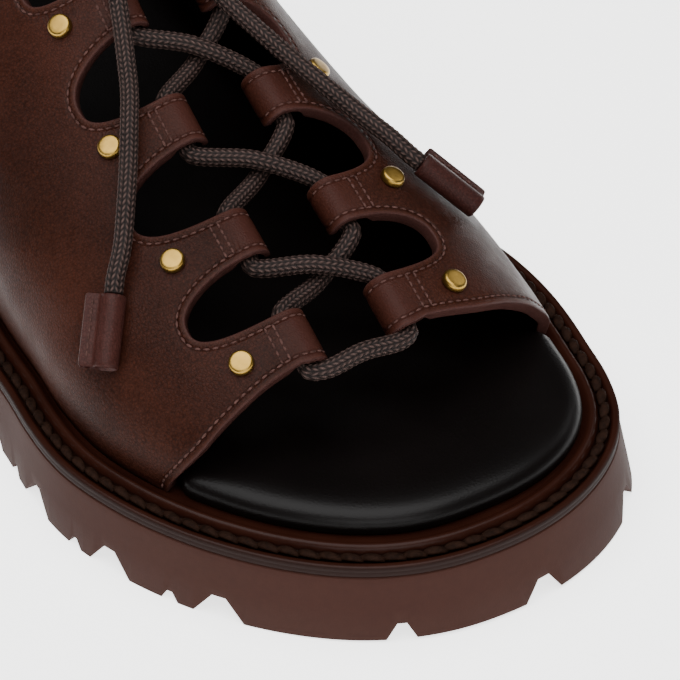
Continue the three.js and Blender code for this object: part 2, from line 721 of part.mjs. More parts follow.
// The two free ends, from the front of the top loops down over the upper to their leather tips
const LATERAL_END = [
  [-10.6, 7.6, 83.6],
  [-10.6, 4.6, 81.6],
  [-10.4, 1.2, 80.4],
  [-10.2, -3.5, 79.8],
  [-10.4, -9, 79.3],
  [-11.2, -14.6, 77.9],
  [-12.9, -20, 74.9],
  [-14.6, -25.4, 71.6],
  [-16.6, -31.2, 68.2],
  [-18.8, -37, 65.4],
  [-21.8, -43, 62.6],
  [-25.4, -49.8, 58.7],
  [-29, -56, 54.8],
  [-32.7, -61.8, 50.3],
  [-36, -65.6, 47.1],
  [-37.4, -67.6, 45.2],
];
const MEDIAL_END = [
  [8.2, 7.4, 82.1],
  [8.2, 4.1, 79.9],
  [8.3, 0.9, 78.6],
  [8.3, -2.8, 78.5],
  [8, -6.4, 79.2],
  [7.2, -10.2, 79.6],
  [5.8, -16, 78.2],
  [5.7, -21.4, 74.8],
  [7.4, -26.2, 71.8],
  [10, -31.6, 68.9],
  [12.8, -37, 66],
  [15.7, -42.3, 63.3],
  [19, -48.4, 60.3],
  [22.3, -54.9, 57.5],
  [25.4, -60.9, 55],
  [27.5, -64.7, 52.7],
  [28.8, -66.1, 51.4],
];
function freeEnd(points) {
  return cord(points.map((p) => new THREE.Vector3(...p)), LACE, 23, 8);
}

// A folded leather tip round the end of the lace: a tube and the stitched flap beside it
function tip(points, flap) {
  const start = new THREE.Vector3(...points[points.length - 1]);
  const before = new THREE.Vector3(...points[points.length - 2]);
  const axis = start.clone().sub(before).normalize();
  const at = start.clone().addScaledVector(axis, GAP + TIP_LENGTH / 2);
  const side = new THREE.Vector3(...flap);
  side.addScaledVector(axis, -side.dot(axis)).normalize();
  const up = axis.clone().cross(side);
  const box = new THREE.BoxGeometry(TIP_D / 2 + TIP_FLAP, TIP_LENGTH, 2);
  box.translate((TIP_D / 2 + TIP_FLAP) / 2, 0, 0);
  box.applyMatrix4(new THREE.Matrix4().makeBasis(side, axis, up.negate()).setPosition(at));
  return rod(at, axis, TIP_D / 2, TIP_LENGTH, 12).add(fromGeometry(box));
}

const material = (name, color, roughness, metalness) =>
  Object.assign(new THREE.MeshStandardMaterial({ color, roughness, metalness }), { name });
const RUBBER = material('rubber', 0x4a2b22, 0.75, 0);
const WELTED = material('welt', 0x3a1c12, 0.35, 0);
const BLACK = material('lining', 0x0c0b0c, 0.45, 0);
const LEATHER = material('leather', 0x3a211a, 0.42, 0);
const BRASS = material('brass', 0xcaa04e, 0.25, 1);
const CORD = material('lace', 0x33231f, 0.85, 0);

const group = new THREE.Group();
group.name = 'sandal';

const bounds = outsole().boundingBox();
const shift = [-(bounds.min[0] + bounds.max[0]) / 2, -(bounds.min[1] + bounds.max[1]) / 2, -bounds.min[2]];
function part(name, body, look) {
  const data = body.getMesh();
  const geometry = new THREE.BufferGeometry();
  const count = data.vertProperties.length / data.numProp;
  const place = new Float32Array(count * 3);
  for (let i = 0; i < count; i += 1) {
    for (let k = 0; k < 3; k += 1) place[3 * i + k] = data.vertProperties[i * data.numProp + k] + shift[k];
  }
  geometry.setAttribute('position', new THREE.BufferAttribute(place, 3));
  geometry.setIndex(new THREE.BufferAttribute(Uint32Array.from(data.triVerts), 1));
  const mesh = new THREE.Mesh(geometry, look);
  mesh.name = name;
  group.add(mesh);
  return mesh;
}

part('outsole', outsole(), RUBBER);
part('welt', welt(), WELTED);
part('footbed', footbed(), BLACK);
part('upper', upper(), LEATHER);
for (const row of studs()) part(row.name, stud(row), BRASS);
part('lace_crossings', crossings(), CORD);
part('lace_end_lateral', freeEnd(LATERAL_END), CORD);
part('lace_end_medial', freeEnd(MEDIAL_END), CORD);
part('lace_tip_lateral', tip(LATERAL_END, [-1, 0.3, -0.2]), LEATHER);
part('lace_tip_medial', tip(MEDIAL_END, [0.6, 0.6, -0.1]), LEATHER);

export default group;
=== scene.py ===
"""Looks of the open-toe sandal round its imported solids. Tables are in millimetres or shares."""
import math

import bmesh
import bpy
import numpy as np
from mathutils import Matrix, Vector, kdtree
from mathutils.geometry import delaunay_2d_cdt


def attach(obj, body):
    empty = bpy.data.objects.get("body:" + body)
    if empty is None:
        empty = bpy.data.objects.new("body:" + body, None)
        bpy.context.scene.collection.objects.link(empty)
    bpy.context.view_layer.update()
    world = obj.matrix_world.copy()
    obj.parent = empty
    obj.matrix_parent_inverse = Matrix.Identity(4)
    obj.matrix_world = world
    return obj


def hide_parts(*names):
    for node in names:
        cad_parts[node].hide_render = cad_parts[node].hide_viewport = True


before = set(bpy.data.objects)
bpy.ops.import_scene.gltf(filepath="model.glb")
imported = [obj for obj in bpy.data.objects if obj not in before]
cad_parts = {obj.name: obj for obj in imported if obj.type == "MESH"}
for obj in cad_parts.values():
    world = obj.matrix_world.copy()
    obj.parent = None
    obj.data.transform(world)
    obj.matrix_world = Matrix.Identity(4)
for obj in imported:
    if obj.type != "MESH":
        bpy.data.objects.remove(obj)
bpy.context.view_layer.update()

MM = 0.001


def add(name, data):
    """An object with this data, linked to the scene."""
    obj = bpy.data.objects.new(name, data)
    bpy.context.scene.collection.objects.link(obj)
    return obj


def look(obj, direction):
    """Turns a camera or a light to look along a direction."""
    obj.rotation_mode = "QUATERNION"
    obj.rotation_quaternion = direction.to_track_quat("-Z", "Y")


# Camera, at the photograph's angle
AZIMUTH, ELEVATION, DISTANCE = math.radians(-28.0), math.radians(40.5), 0.65
FOCAL_PX, FRAME_PX, SENSOR = 3302.0, 680.0, 36.0
AIM = Vector((0.009, -0.0705, 0.0175))
level = math.cos(ELEVATION)
back = Vector((math.sin(AZIMUTH) * level, -math.cos(AZIMUTH) * level, math.sin(ELEVATION)))
lens = bpy.data.cameras.new("camera")
lens.sensor_width = SENSOR
lens.lens = FOCAL_PX * SENSOR / FRAME_PX
lens.clip_start, lens.clip_end = 0.02, 20
camera = add("camera", lens)
look(camera, -back)
camera.location = AIM + back * DISTANCE
bpy.context.scene.camera = camera

# Sizes, as in the part
LENGTH, BALL, TREAD, HEEL_RISE, TOE_SPRING, ARCH = 270.0, 107.0, 15.0, 15.5, 0.8, 5.0
FLARE, TREAD_SHIFT, WELT, WELT_WIDTH, LEDGE, FEATHER = 2.2, 1.3, 2.7, 12.0, 2.2, 7.4
WALL, SHAFT, FOOTBED, GAP = 2.6, 84.0, 5.0, 0.3
LACE, LOOP_R, LOOP_LENGTH = 3.5, 4.0, 10.8
STUD_D, STUD_H = 4.8, 1.7
TIP_D, TIP_LENGTH, TIP_FLAP = 5.0, 14.0, 2.6
LAYER = 1.3
TOE_ROUND, TOE_POWER, HEEL_ROUND, HEEL_POWER = 0.2667, 2.15, 0.148, 2.2
SKIN_HEEL, SKIN_HEEL_POWER = 0.1407, 2.1
LINE_OUT = LOOP_R * 1.25
STITCH_IN, STITCH_PITCH, TAB_STITCH_PITCH, WELT_PITCH = 1.3, 1.72, 1.6, 3.9

PLAN = np.array([
    [0, 0.498, 0.556, 0.056], [0.044, 0.497, 0.554, 0.045], [0.074, 0.497, 0.547, 0.034],
    [0.111, 0.499, 0.533, 0.019], [0.156, 0.505, 0.517, 0.005], [0.211, 0.511, 0.513, -0.007],
    [0.263, 0.505, 0.503, -0.014], [0.3, 0.497, 0.486, -0.018], [0.37, 0.486, 0.449, -0.028],
    [0.481, 0.463, 0.408, -0.033], [0.611, 0.416, 0.376, -0.037], [0.741, 0.379, 0.362, -0.037],
    [0.889, 0.36, 0.359, -0.037], [1, 0.355, 0.355, -0.037]])
RISE = np.array([[0, 0], [0.333, 0], [0.481, 0.226], [0.704, 0.742], [1, 1]])
WAIST = np.array([[0, 0], [0.425, 0], [0.47, 0.85], [0.52, 1], [0.64, 1], [0.668, 0], [1, 0]])
# up, front, back, lateral, medial, round, power, shoulder
SKIN = np.array([
    [0, 0.0304, 0.9704, 1.0, 1.0, 0.2593, 2.15, 2.5],
    [0.06, 0.0319, 0.9741, 1.028, 1.02, 0.2741, 2.15, 2.5],
    [0.143, 0.0519, 0.9778, 1.04, 0.985, 0.2963, 2.1, 2.5],
    [0.238, 0.0963, 0.9778, 1.028, 0.945, 0.3333, 2.05, 2.5],
    [0.357, 0.1852, 0.9741, 0.977, 0.885, 0.3519, 2, 2.6],
    [0.476, 0.2963, 0.9667, 0.889, 0.81, 0.3519, 2, 2.6],
    [0.595, 0.3926, 0.963, 0.817, 0.785, 0.3333, 2, 2.6],
    [0.714, 0.4778, 0.9556, 0.776, 0.79, 0.2963, 2, 2.5],
    [0.833, 0.5444, 0.9556, 0.79, 0.83, 0.2444, 2, 2.3],
    [1.012, 0.6037, 0.9593, 0.83, 0.88, 0.1852, 2, 2.1]])
# front, rear, studOut, studIn
TABS = np.array([
    [0.1426, 0.1767, 0.1604, 0.1604], [0.2256, 0.2611, 0.2481, 0.2515],
    [0.3226, 0.3589, 0.3489, 0.3619], [0.4156, 0.4541, 0.4426, 0.45],
    [0.5056, 0.5444, 0.5315, 0.537]])
THROAT = -0.008 * BALL
# tip, studOut, studIn, cutOut, cutIn
REACH = np.array([
    [0.0556, 0.205, 0.2125, 0.2612, 0.234], [0.0556, 0.2266, 0.2135, 0.2603, 0.214],
    [0.0556, 0.2248, 0.208, 0.2444, 0.183], [0.054, 0.2089, 0.204, 0.2444, 0.183],
    [0.054, 0.198, 0.199, 0, 0]])
# z, lateral, medial
TOE_EDGE = np.array([
    [8, 0.158, 0.178], [19, 0.151, 0.1705], [24, 0.1425, 0.166], [30, 0.1375, 0.159],
    [36, 0.139, 0.15], [41, 0.141, 0.1415], [60, 0.141, 0.141]])
COLLAR = np.array([
    [0.46, 101], [0.53, 97.5], [0.56, 93], [0.62, 88.5], [0.72, 87], [0.84, 91], [0.93, 97], [1.05, 101]])
# at, side, width, depth, reach
CHANNELS = [
    (0.0105, -1, 6.4, 4.4, 14), (0.087, -1, 10, 5.2, 24), (0.1645, -1, 9.5, 5.2, 27),
    (0.2475, -1, 9.5, 5.2, 28), (0.33, -1, 9.5, 5.2, 28), (0.402, -1, 8, 5.2, 26),
    (0.0035, 1, 9, 5.2, 20), (0.052, 1, 9, 5.2, 24), (0.13, 1, 9.5, 5.2, 27),
    (0.212, 1, 9.5, 5.2, 28), (0.294, 1, 9.5, 5.2, 26), (0.372, 1, 9, 5.2, 22)]
CHANNELS += [(at, side, width, 5.2, reach) for side in (-1, 1)
             for at, width, reach in ((0.735, 9.5, 20), (0.815, 9.5, 20), (0.9, 9.5, 20), (0.975, 9, 18))]
NICKS = [(0.118, -1), (0.197, -1), (0.285, -1), (0.085, 1), (0.168, 1), (0.252, 1)]
RUNS = [(0.075, 0.415, -0.21), (0.075, 0.415, 0.2), (0.69, 0.95, -0.17), (0.69, 0.95, 0.11)]


def curve(xs, ys):
    """Monotone cubic through the points, for arrays."""
    xs, ys = np.asarray(xs, float), np.asarray(ys, float)
    step = np.diff(xs)
    rate = np.diff(ys) / step
    slope = np.zeros(len(xs))
    slope[0], slope[-1] = rate[0], rate[-1]
    for i in range(1, len(xs) - 1):
        if rate[i - 1] * rate[i] > 0:
            a, b = 2 * step[i] + step[i - 1], step[i] + 2 * step[i - 1]
            slope[i] = (a + b) / (a / rate[i - 1] + b / rate[i])

    def at(value):
        v = np.clip(value, xs[0], xs[-1])
        i = np.clip(np.searchsorted(xs, v, side="right") - 1, 0, len(xs) - 2)
        q = (v - xs[i]) / step[i]
        p = 1 - q
        return (ys[i] * p * p * (1 + 2 * q) + ys[i + 1] * q * q * (3 - 2 * q)
                + slope[i] * step[i] * q * p * p - slope[i + 1] * step[i] * q * q * p)

    return at


lateral_share, medial_share, centre_share = (curve(PLAN[:, 0], PLAN[:, k]) for k in (1, 2, 3))
rise_share, waist_share = curve(RISE[:, 0], RISE[:, 1]), curve(WAIST[:, 0], WAIST[:, 1])
skin_at = [curve(SKIN[:, 0], SKIN[:, k]) for k in range(1, 8)]


def rounded(left, power):
    return (1 - np.clip(left, 0, 1) ** power) ** (1 / power)


def centre(u):
    return BALL * centre_share(u / LENGTH)


def half_width(u, side):
    return BALL * np.where(np.asarray(side) < 0, lateral_share(u / LENGTH), medial_share(u / LENGTH))


def outline_x(u, side):
    """How far across the welt's outline stands at a station."""
    toe = rounded(1 - u / (TOE_ROUND * LENGTH), TOE_POWER)
    heel = rounded(1 - (LENGTH - u) / (HEEL_ROUND * LENGTH), HEEL_POWER)
    return centre(u) + side * half_width(u, side) * toe * heel


def sole_top(u):
    return TREAD + HEEL_RISE * rise_share(u / LENGTH)


def foot_line(u):
    return sole_top(u) + LEDGE + GAP


def sole_bottom(u):
    toe = np.maximum(1 - u / (0.13 * LENGTH), 0)
    return TOE_SPRING * toe * toe + ARCH * waist_share(u / LENGTH)


def ends(h):
    """The skin's first and last stations at a height over the feather line."""
    return LENGTH * skin_at[0](h / SHAFT), LENGTH * skin_at[1](h / SHAFT)


def skin_x(u, h, side):
    up = h / SHAFT
    front, rear = ends(h)
    lateral = np.asarray(side) < 0
    power = np.where(lateral, skin_at[5](up), skin_at[6](up))
    toe = rounded(1 - (u - front) / (LENGTH * skin_at[4](up)), power)
    heel = rounded(1 - (rear - u) / (SKIN_HEEL * LENGTH), SKIN_HEEL_POWER)
    share = np.where(lateral, skin_at[2](up), skin_at[3](up))
    return centre(u) + side * (half_width(u, side) - FEATHER) * share * toe * heel


def skin(t, h, side):
    """A point of the skin; t runs from 0 at the toe to 1 at the heel."""
    front, rear = ends(h)
    u = front + (rear - front) * (1 - np.cos(np.pi * t)) / 2
    return np.stack([skin_x(u, h, side), u - LENGTH / 2, foot_line(u) + h], -1)


def unit(v):
    return v / np.maximum(np.linalg.norm(v, axis=-1, keepdims=True), 1e-12)


def skin_normal(t, h, side):
    e = 0.004
    t, h = np.asarray(t, float), np.asarray(h, float)
    side = np.broadcast_to(side, t.shape)
    a, b = skin(np.maximum(t - e, 0), h, side), skin(np.minimum(t + e, 1), h, side)
    near, far = t < e, t > 1 - e
    a[..., 0] = np.where(near, 2 * centre(a[..., 1] + LENGTH / 2) - b[..., 0], a[..., 0])
    b[..., 0] = np.where(far, 2 * centre(b[..., 1] + LENGTH / 2) - a[..., 0], b[..., 0])
    a[..., 1] = np.where(near, b[..., 1], a[..., 1])
    b[..., 1] = np.where(far, a[..., 1], b[..., 1])
    low, high = skin(t, np.maximum(h - 0.5, 0), side), skin(t, h + 0.5, side)
    return unit(np.cross(b - a, high - low) * side[..., None])


def halved(low, high, short, times):
    """Bisects between low and high; short says where the middle is still too low."""
    for _ in range(times):
        middle = (low + high) / 2
        too_low = short(middle)
        low, high = np.where(too_low, middle, low), np.where(too_low, high, middle)
    return low, high


def on_skin(x, u):
    """The skin's point over a place in plan, and its height over the feather line."""
    side = -1 if x < centre(u) else 1
    middle = float(centre(u))
    reach = lambda h: side * (float(skin_x(u, h, side)) - middle) - abs(x - middle)
    high = SHAFT
    while high > 0 and reach(high) < 0:
        high -= 1
    low = float(halved(high, high + 1, lambda h: reach(h) >= 0, 30)[0])
    return np.array([x, u - LENGTH / 2, float(foot_line(u)) + low]), low


def normal_over(x, u):
    side = 1 if x > centre(u) else -1
    a, b = on_skin(x - side * 1.2, u)[0], on_skin(x + side * 1.2, u)[0]
    c, d = on_skin(x, u - 1.2)[0], on_skin(x, u + 1.2)[0]
    return unit(np.cross(b - a, d - c) * side)


# Mesh helpers
def build(name, verts, faces, materials, slots=None, sharp=None, node=None, fields=None):
    """A mesh object in metres from points in millimetres, riding on the shoe."""
    mesh = bpy.data.meshes.new(name)
    mesh.from_pydata((np.asarray(verts, float) * MM).tolist(), [], [list(map(int, f)) for f in faces])
    for m in materials:
        mesh.materials.append(m)
    if slots is not None:
        mesh.polygons.foreach_set("material_index", np.asarray(slots, np.int32))
    for key, values in (fields or {}).items():
        mesh.attributes.new(key, "FLOAT", "POINT").data.foreach_set("value", np.asarray(values, np.float32))
    mesh.polygons.foreach_set("use_smooth", np.ones(len(mesh.polygons), bool))
    mesh.validate()
    mesh.update()
    if sharp is not None:
        mesh.set_sharp_from_angle(angle=math.radians(sharp))
    obj = add(name, mesh)
    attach(obj, "root")
    if node:
        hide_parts(node)
    return obj


def grid_faces(rows, cols, loop_rows=False, base=0):
    """Quads between rings of points, each ring closed."""
    faces = []
    for i in range(rows if loop_rows else rows - 1):
        a, b = base + i * cols, base + ((i + 1) % rows) * cols
        for j in range(cols):
            k = (j + 1) % cols
            faces.append((a + j, a + k, b + k, b + j))
    return faces


def capped(rows, cols, base=0):
    """The same with a cap on the first ring and on the last."""
    last = base + (rows - 1) * cols
    caps = [tuple(base + j for j in range(cols - 1, -1, -1)), tuple(last + j for j in range(cols))]
    return grid_faces(rows, cols, base=base) + caps


def run_length(points):
    """Distance from the first point along the line to each point."""
    return np.concatenate([[0], np.cumsum(np.linalg.norm(np.diff(points, axis=0), axis=1))])


def resample(points, count):
    points = np.asarray(points, float)
    s = run_length(points)
    want = np.linspace(0, s[-1], count)
    return np.stack([np.interp(want, s, points[:, k]) for k in range(points.shape[1])], 1)


def closed_resample(points, count):
    """Even points round a closed line; the first isn't repeated."""
    points = np.asarray(points, float)
    return resample(np.concatenate([points, points[:1]]), count + 1)[:-1]


def catmull(points, per=24):
    """Centripetal Catmull-Rom through the points, sampled evenly within each span."""
    p = [np.asarray(q, float) for q in points]
    p = [2 * p[0] - p[1]] + p + [2 * p[-1] - p[-2]]
    out = []
    for i in range(1, len(p) - 2):
        a, b, c, d = p[i - 1], p[i], p[i + 1], p[i + 2]
        t0, t1, t2 = (max(np.linalg.norm(v), 1e-4) ** 0.5 for v in (b - a, c - b, d - c))
        m1 = ((b - a) / t0 - (c - a) / (t0 + t1) + (c - b) / t1) * t1
        m2 = ((c - b) / t1 - (d - b) / (t1 + t2) + (d - c) / t2) * t1
        for k in range(per):
            q = k / per
            out.append(b + m1 * q + (-3 * b + 3 * c - 2 * m1 - m2) * q * q
                       + (2 * b - 2 * c + m1 + m2) * q ** 3)
    out.append(p[-2])
    return np.array(out)


def frames(path):
    """Tangents and two cross directions carried along a path without twist."""
    tangent = unit(np.gradient(path, axis=0))
    first = np.cross(tangent[0], [0, 0, 1.0])
    if np.linalg.norm(first) < 1e-3:
        first = np.cross(tangent[0], [1.0, 0, 0])
    one = [unit(first)]
    for i in range(1, len(path)):
        v = one[-1] - tangent[i] * (one[-1] @ tangent[i])
        one.append(unit(v))
    one = np.array(one)
    return tangent, one, np.cross(tangent, one)


def tube(path, radius, sides, bump):
    """Points and faces of a tube round a path; bump(angle, length) is added to the radius."""
    _, one, two = frames(path)
    a = np.arange(sides) * 2 * np.pi / sides
    rise = bump(a[None, :], run_length(path)[:, None])
    r = radius + rise
    across, up = (np.cos(a) * r)[..., None], (np.sin(a) * r)[..., None]
    verts = path[:, None] + one[:, None] * across + two[:, None] * up
    return verts.reshape(-1, 3), capped(len(path), sides), rise.ravel()


# Materials
def tree_of(name):
    mat = bpy.data.materials.new(name)
    mat.use_nodes = True
    return mat, mat.node_tree, mat.node_tree.nodes["Principled BSDF"]


def put(tree, kind, **inputs):
    n = tree.nodes.new(kind)
    for key, value in inputs.items():
        n.inputs[key.replace("_", " ")].default_value = value
    return n


def plug(tree, source, socket):
    """Gives a socket a number, a colour or a link."""
    if isinstance(source, (int, float)):
        socket.default_value = source
    elif isinstance(source, tuple):
        socket.default_value = (*source, 1)
    else:
        tree.links.new(source, socket)


def ramp(tree, source, stops):
    """Colours by value; a stop's number stands for a grey."""
    n = tree.nodes.new("ShaderNodeValToRGB")
    while len(n.color_ramp.elements) < len(stops):
        n.color_ramp.elements.new(0.5)
    for e, (at, colour) in zip(n.color_ramp.elements, stops):
        e.position = at
        e.color = (*(colour if isinstance(colour, tuple) else (colour,) * 3), 1)
    plug(tree, source, n.inputs[0])
    return n.outputs[0]


def calc(tree, kind, a, b, clamp=False):
    n = tree.nodes.new("ShaderNodeMath")
    n.operation = kind
    n.use_clamp = clamp
    plug(tree, a, n.inputs[0])
    plug(tree, b, n.inputs[1])
    return n.outputs[0]


def mix_colour(tree, factor, a, b):
    n = tree.nodes.new("ShaderNodeMix")
    n.data_type = "RGBA"
    for i, v in ((0, factor), (6, a), (7, b)):
        plug(tree, v, n.inputs[i])
    return n.outputs[2]


def field(tree, name):
    n = tree.nodes.new("ShaderNodeAttribute")
    n.attribute_name = name
    return n.outputs["Fac"]


def noise(tree, scale, detail=3.0, rough=0.5, stretch=None):
    where = tree.nodes.new("ShaderNodeTexCoord").outputs["Object"]
    if stretch:
        m = put(tree, "ShaderNodeMapping", Scale=stretch)
        plug(tree, where, m.inputs[0])
        where = m.outputs[0]
    n = put(tree, "ShaderNodeTexNoise", Scale=scale, Detail=detail, Roughness=rough)
    plug(tree, where, n.inputs["Vector"])
    return n.outputs["Fac"]


def two_noises(tree, coarse, share, fine):
    """A share of one noise and the rest of another."""
    return calc(tree, "ADD", calc(tree, "MULTIPLY", noise(tree, *coarse), share),
                calc(tree, "MULTIPLY", noise(tree, *fine), 1 - share))


def cells(tree, scale):
    n = put(tree, "ShaderNodeTexVoronoi", Scale=scale)
    n.feature = "DISTANCE_TO_EDGE"
    plug(tree, tree.nodes.new("ShaderNodeTexCoord").outputs["Object"], n.inputs["Vector"])
    return n.outputs["Distance"]


def bell(tree, value, at, width):
    """1 at a value, falling to 0 a width away."""
    away = calc(tree, "ABSOLUTE", calc(tree, "SUBTRACT", value, at), 0.0)
    return calc(tree, "SUBTRACT", 1.0, calc(tree, "DIVIDE", away, width), clamp=True)


def finish(tree, shader, colour, rough, level, layers):
    """Plugs in colour, roughness and specular level; chains bumps: height, strength, depth in metres."""
    plug(tree, colour, shader.inputs["Base Color"])
    plug(tree, rough, shader.inputs["Roughness"])
    plug(tree, level, shader.inputs["Specular IOR Level"])
    normal = None
    for height, strength, depth in layers:
        n = put(tree, "ShaderNodeBump", Strength=strength, Distance=depth)
        plug(tree, height, n.inputs["Height"])
        if normal is not None:
            plug(tree, normal, n.inputs["Normal"])
        normal = n.outputs["Normal"]
    plug(tree, normal, shader.inputs["Normal"])


def leather(name, deep, light, fold=None, rough=0.44, coat=0.0, grain=1.0):
    mat, tree, shader = tree_of(name)
    tone = two_noises(tree, (28, 4, 0.6), 0.45, (1900, 3, 0.75))
    grooves = cells(tree, 1500)
    colour = mix_colour(tree, ramp(tree, grooves, [(0.0, 0.5), (0.16, 0.0)]),
                        ramp(tree, tone, [(0.4, deep), (0.6, light)]), tuple(c * 0.62 for c in deep))
    layers = [(noise(tree, 60, 3, 0.5), 0.1 * grain, 0.0012),
              (calc(tree, "SMOOTH_MIN", grooves, 0.12), 0.5 * grain, 0.0005),
              (noise(tree, 2600, 2, 0.5), 0.2 * grain, 0.0002)]
    if fold:
        edge = field(tree, "edge")
        # fold: a redder, lighter colour over each tab's roll, part the leather's own tone there and part a
        # painted highlight on the roll's top
        colour = mix_colour(tree, field(tree, "fold"), colour, fold)
        # Lighter towards the cut edge: a painted highlight along the edge's roll.
        edge_highlight = ramp(tree, calc(tree, "DIVIDE", edge, 0.6, clamp=True), [(0.0, 0.3), (1.0, 0.0)])
        colour = mix_colour(tree, edge_highlight, colour, tuple(min(1, c * 1.55 + 0.01) for c in light))
        # At the stitch line: a groove in the bump, and the colour darkened there as painted shade in the
        # groove.
        stitch_groove = bell(tree, edge, STITCH_IN, 0.5)
        colour = mix_colour(tree, calc(tree, "MULTIPLY", stitch_groove, 0.4), colour, tuple(c * 0.5 for c in deep))
        layers.append((calc(tree, "MULTIPLY", stitch_groove, -1.0), 0.6, 0.0004))
    gloss = ramp(tree, noise(tree, 180, 3, 0.6), [(0.3, rough - 0.05), (0.7, rough + 0.08)])
    finish(tree, shader, colour, gloss, 0.065, layers)
    shader.inputs["Coat Weight"].default_value = coat
    shader.inputs["Coat Roughness"].default_value = 0.35
    return mat


def thread(name, dark, light, twist=2400):
    mat, tree, shader = tree_of(name)
    colour = ramp(tree, noise(tree, 900, 3, 0.6), [(0.3, dark), (0.7, light)])
    finish(tree, shader, colour, 0.75, 0.05, [(noise(tree, twist, 2, 0.5), 0.5, 0.0002)])
    return mat


def welt_material():
    mat, tree, shader = tree_of("welt")
    side = field(tree, "side")
    colour = ramp(tree, noise(tree, 55, 4, 0.6, (1, 1, 3)),
                  [(0.3, (0.0125, 0.0034, 0.0019)), (0.7, (0.021, 0.006, 0.0034))])
    colour = mix_colour(tree, side, colour, (0.01, 0.0038, 0.0027))
    # The stitch channel is pulled much darker: painted shade in the channel and in the gaps between its
    # stitches.
    low = calc(tree, "MULTIPLY", field(tree, "channel"), 0.75)
    colour = mix_colour(tree, low, colour, (0.004, 0.0016, 0.001))
    gloss = calc(tree, "ADD", calc(tree, "MULTIPLY", side, 0.4), 0.3)
    finish(tree, shader, colour, gloss, 0.08,
           [(noise(tree, 240, 3, 0.5), 0.12, 0.0006), (noise(tree, 1800, 2, 0.5), 0.12, 0.00012)])
    return mat


def rubber_material():
    mat, tree, shader = tree_of("rubber")
    colour = ramp(tree, two_noises(tree, (30, 3, 0.5), 0.6, (700, 2, 0.6)),
                  [(0.3, (0.024, 0.008, 0.0052)), (0.7, (0.031, 0.0105, 0.0069))])
    finish(tree, shader, colour, 0.7, 0.08,
           [(noise(tree, 90, 3, 0.6), 0.12, 0.0012), (noise(tree, 3200, 2, 0.6), 0.25, 0.00012)])
    return mat


def footbed_material():
    mat, tree, shader = tree_of("footbed_leather")
    colour = ramp(tree, noise(tree, 60, 3, 0.5),
                  [(0.3, (0.0012, 0.0006, 0.0005)), (0.7, (0.0019, 0.0011, 0.001))])
    finish(tree, shader, colour, 0.36, 0.12,
           [(noise(tree, 50, 2, 0.5), 0.12, 0.0012), (cells(tree, 1300), 0.2, 0.0002)])
    return mat


def brass_material():
    mat, tree, shader = tree_of("stud_metal")
    colour = ramp(tree, noise(tree, 300, 3, 0.5), [(0.3, (0.27, 0.165, 0.036)), (0.7, (0.33, 0.205, 0.047))])
    gloss = ramp(tree, noise(tree, 900, 3, 0.6), [(0.3, 0.3), (0.7, 0.38)])
    finish(tree, shader, colour, gloss, 0.5, [(noise(tree, 500, 3, 0.5), 0.12, 0.0003)])
    shader.inputs["Metallic"].default_value = 1
    return mat


def lace_material():
    """Painted shade between the strands and a painted highlight on their tops, both from the braid's height.
    """
    mat, tree, shader = tree_of("lace")
    # lift runs from the gaps to the strand tops: low is painted shade, high is painted highlight
    colour = ramp(tree, field(tree, "lift"),
                  [(0.3, (0.0022, 0.0012, 0.0009)), (0.7, (0.02, 0.0112, 0.0092)),
                   (1, (0.078, 0.0475, 0.04))])
    mottle = calc(tree, "MULTIPLY", noise(tree, 1500, 3, 0.7), 0.25)
    colour = mix_colour(tree, mottle, colour, (0.012, 0.006, 0.0047))
    finish(tree, shader, colour, 0.66, 0.15, [(noise(tree, 3500, 2, 0.5), 0.35, 0.0002)])
    return mat


# fold is the colour over the tabs' rolls: part redder leather, part painted highlight
SKIN_LEATHER = leather("upper_leather", (0.0108, 0.0028, 0.0014), (0.035, 0.01, 0.0056),
                       fold=(0.034, 0.0108, 0.0078))
EDGE = leather("edge_paint", (0.029, 0.0112, 0.0092), (0.046, 0.0188, 0.0156), rough=0.4, grain=0.5)
LINING = leather("lining", (0.0011, 0.0008, 0.0007), (0.0018, 0.0013, 0.0012), rough=0.55)
TIPS = leather("tip_leather", (0.021, 0.0066, 0.0052), (0.042, 0.0142, 0.0115), rough=0.4, coat=0.02)
THREAD = thread("upper_thread", (0.032, 0.015, 0.0125), (0.085, 0.043, 0.0365))
WELT_THREAD = thread("welt_thread", (0.0055, 0.0022, 0.0012), (0.0165, 0.0069, 0.004), 1500)
WELT_SKIN, RUBBER, PAD, BRASS, CORD = (
    welt_material(), rubber_material(), footbed_material(), brass_material(), lace_material())

# Lace
LATERAL_END = [
    (-10.6, 7.6, 83.6), (-10.6, 4.6, 81.6), (-10.4, 1.2, 80.4), (-10.2, -3.5, 79.8), (-10.4, -9, 79.3),
    (-11.2, -14.6, 77.9), (-12.9, -20, 74.9), (-14.6, -25.4, 71.6), (-16.6, -31.2, 68.2), (-18.8, -37, 65.4),
    (-21.8, -43, 62.6), (-25.4, -49.8, 58.7), (-29, -56, 54.8), (-32.7, -61.8, 50.3), (-36, -65.6, 47.1),
    (-37.4, -67.6, 45.2)]
MEDIAL_END = [
    (8.2, 7.4, 82.1), (8.2, 4.1, 79.9), (8.3, 0.9, 78.6), (8.3, -2.8, 78.5), (8, -6.4, 79.2),
    (7.2, -10.2, 79.6), (5.8, -16, 78.2), (5.7, -21.4, 74.8), (7.4, -26.2, 71.8), (10, -31.6, 68.9),
    (12.8, -37, 66),
    (15.7, -42.3, 63.3), (19, -48.4, 60.3), (22.3, -54.9, 57.5), (25.4, -60.9, 55), (27.5, -64.7, 52.7),
    (28.8, -66.1, 51.4)]
TURN = [(-1.5, 0.32), (3.4, 0.4), (5.8, 0.68), (3.6, 0.96), (0.8, 1), (-3, 1)]


def line_x(i, side):
    """How far across the middle line of a loop stands."""
    return THROAT + side * (REACH[i, 0] * BALL + LINE_OUT)


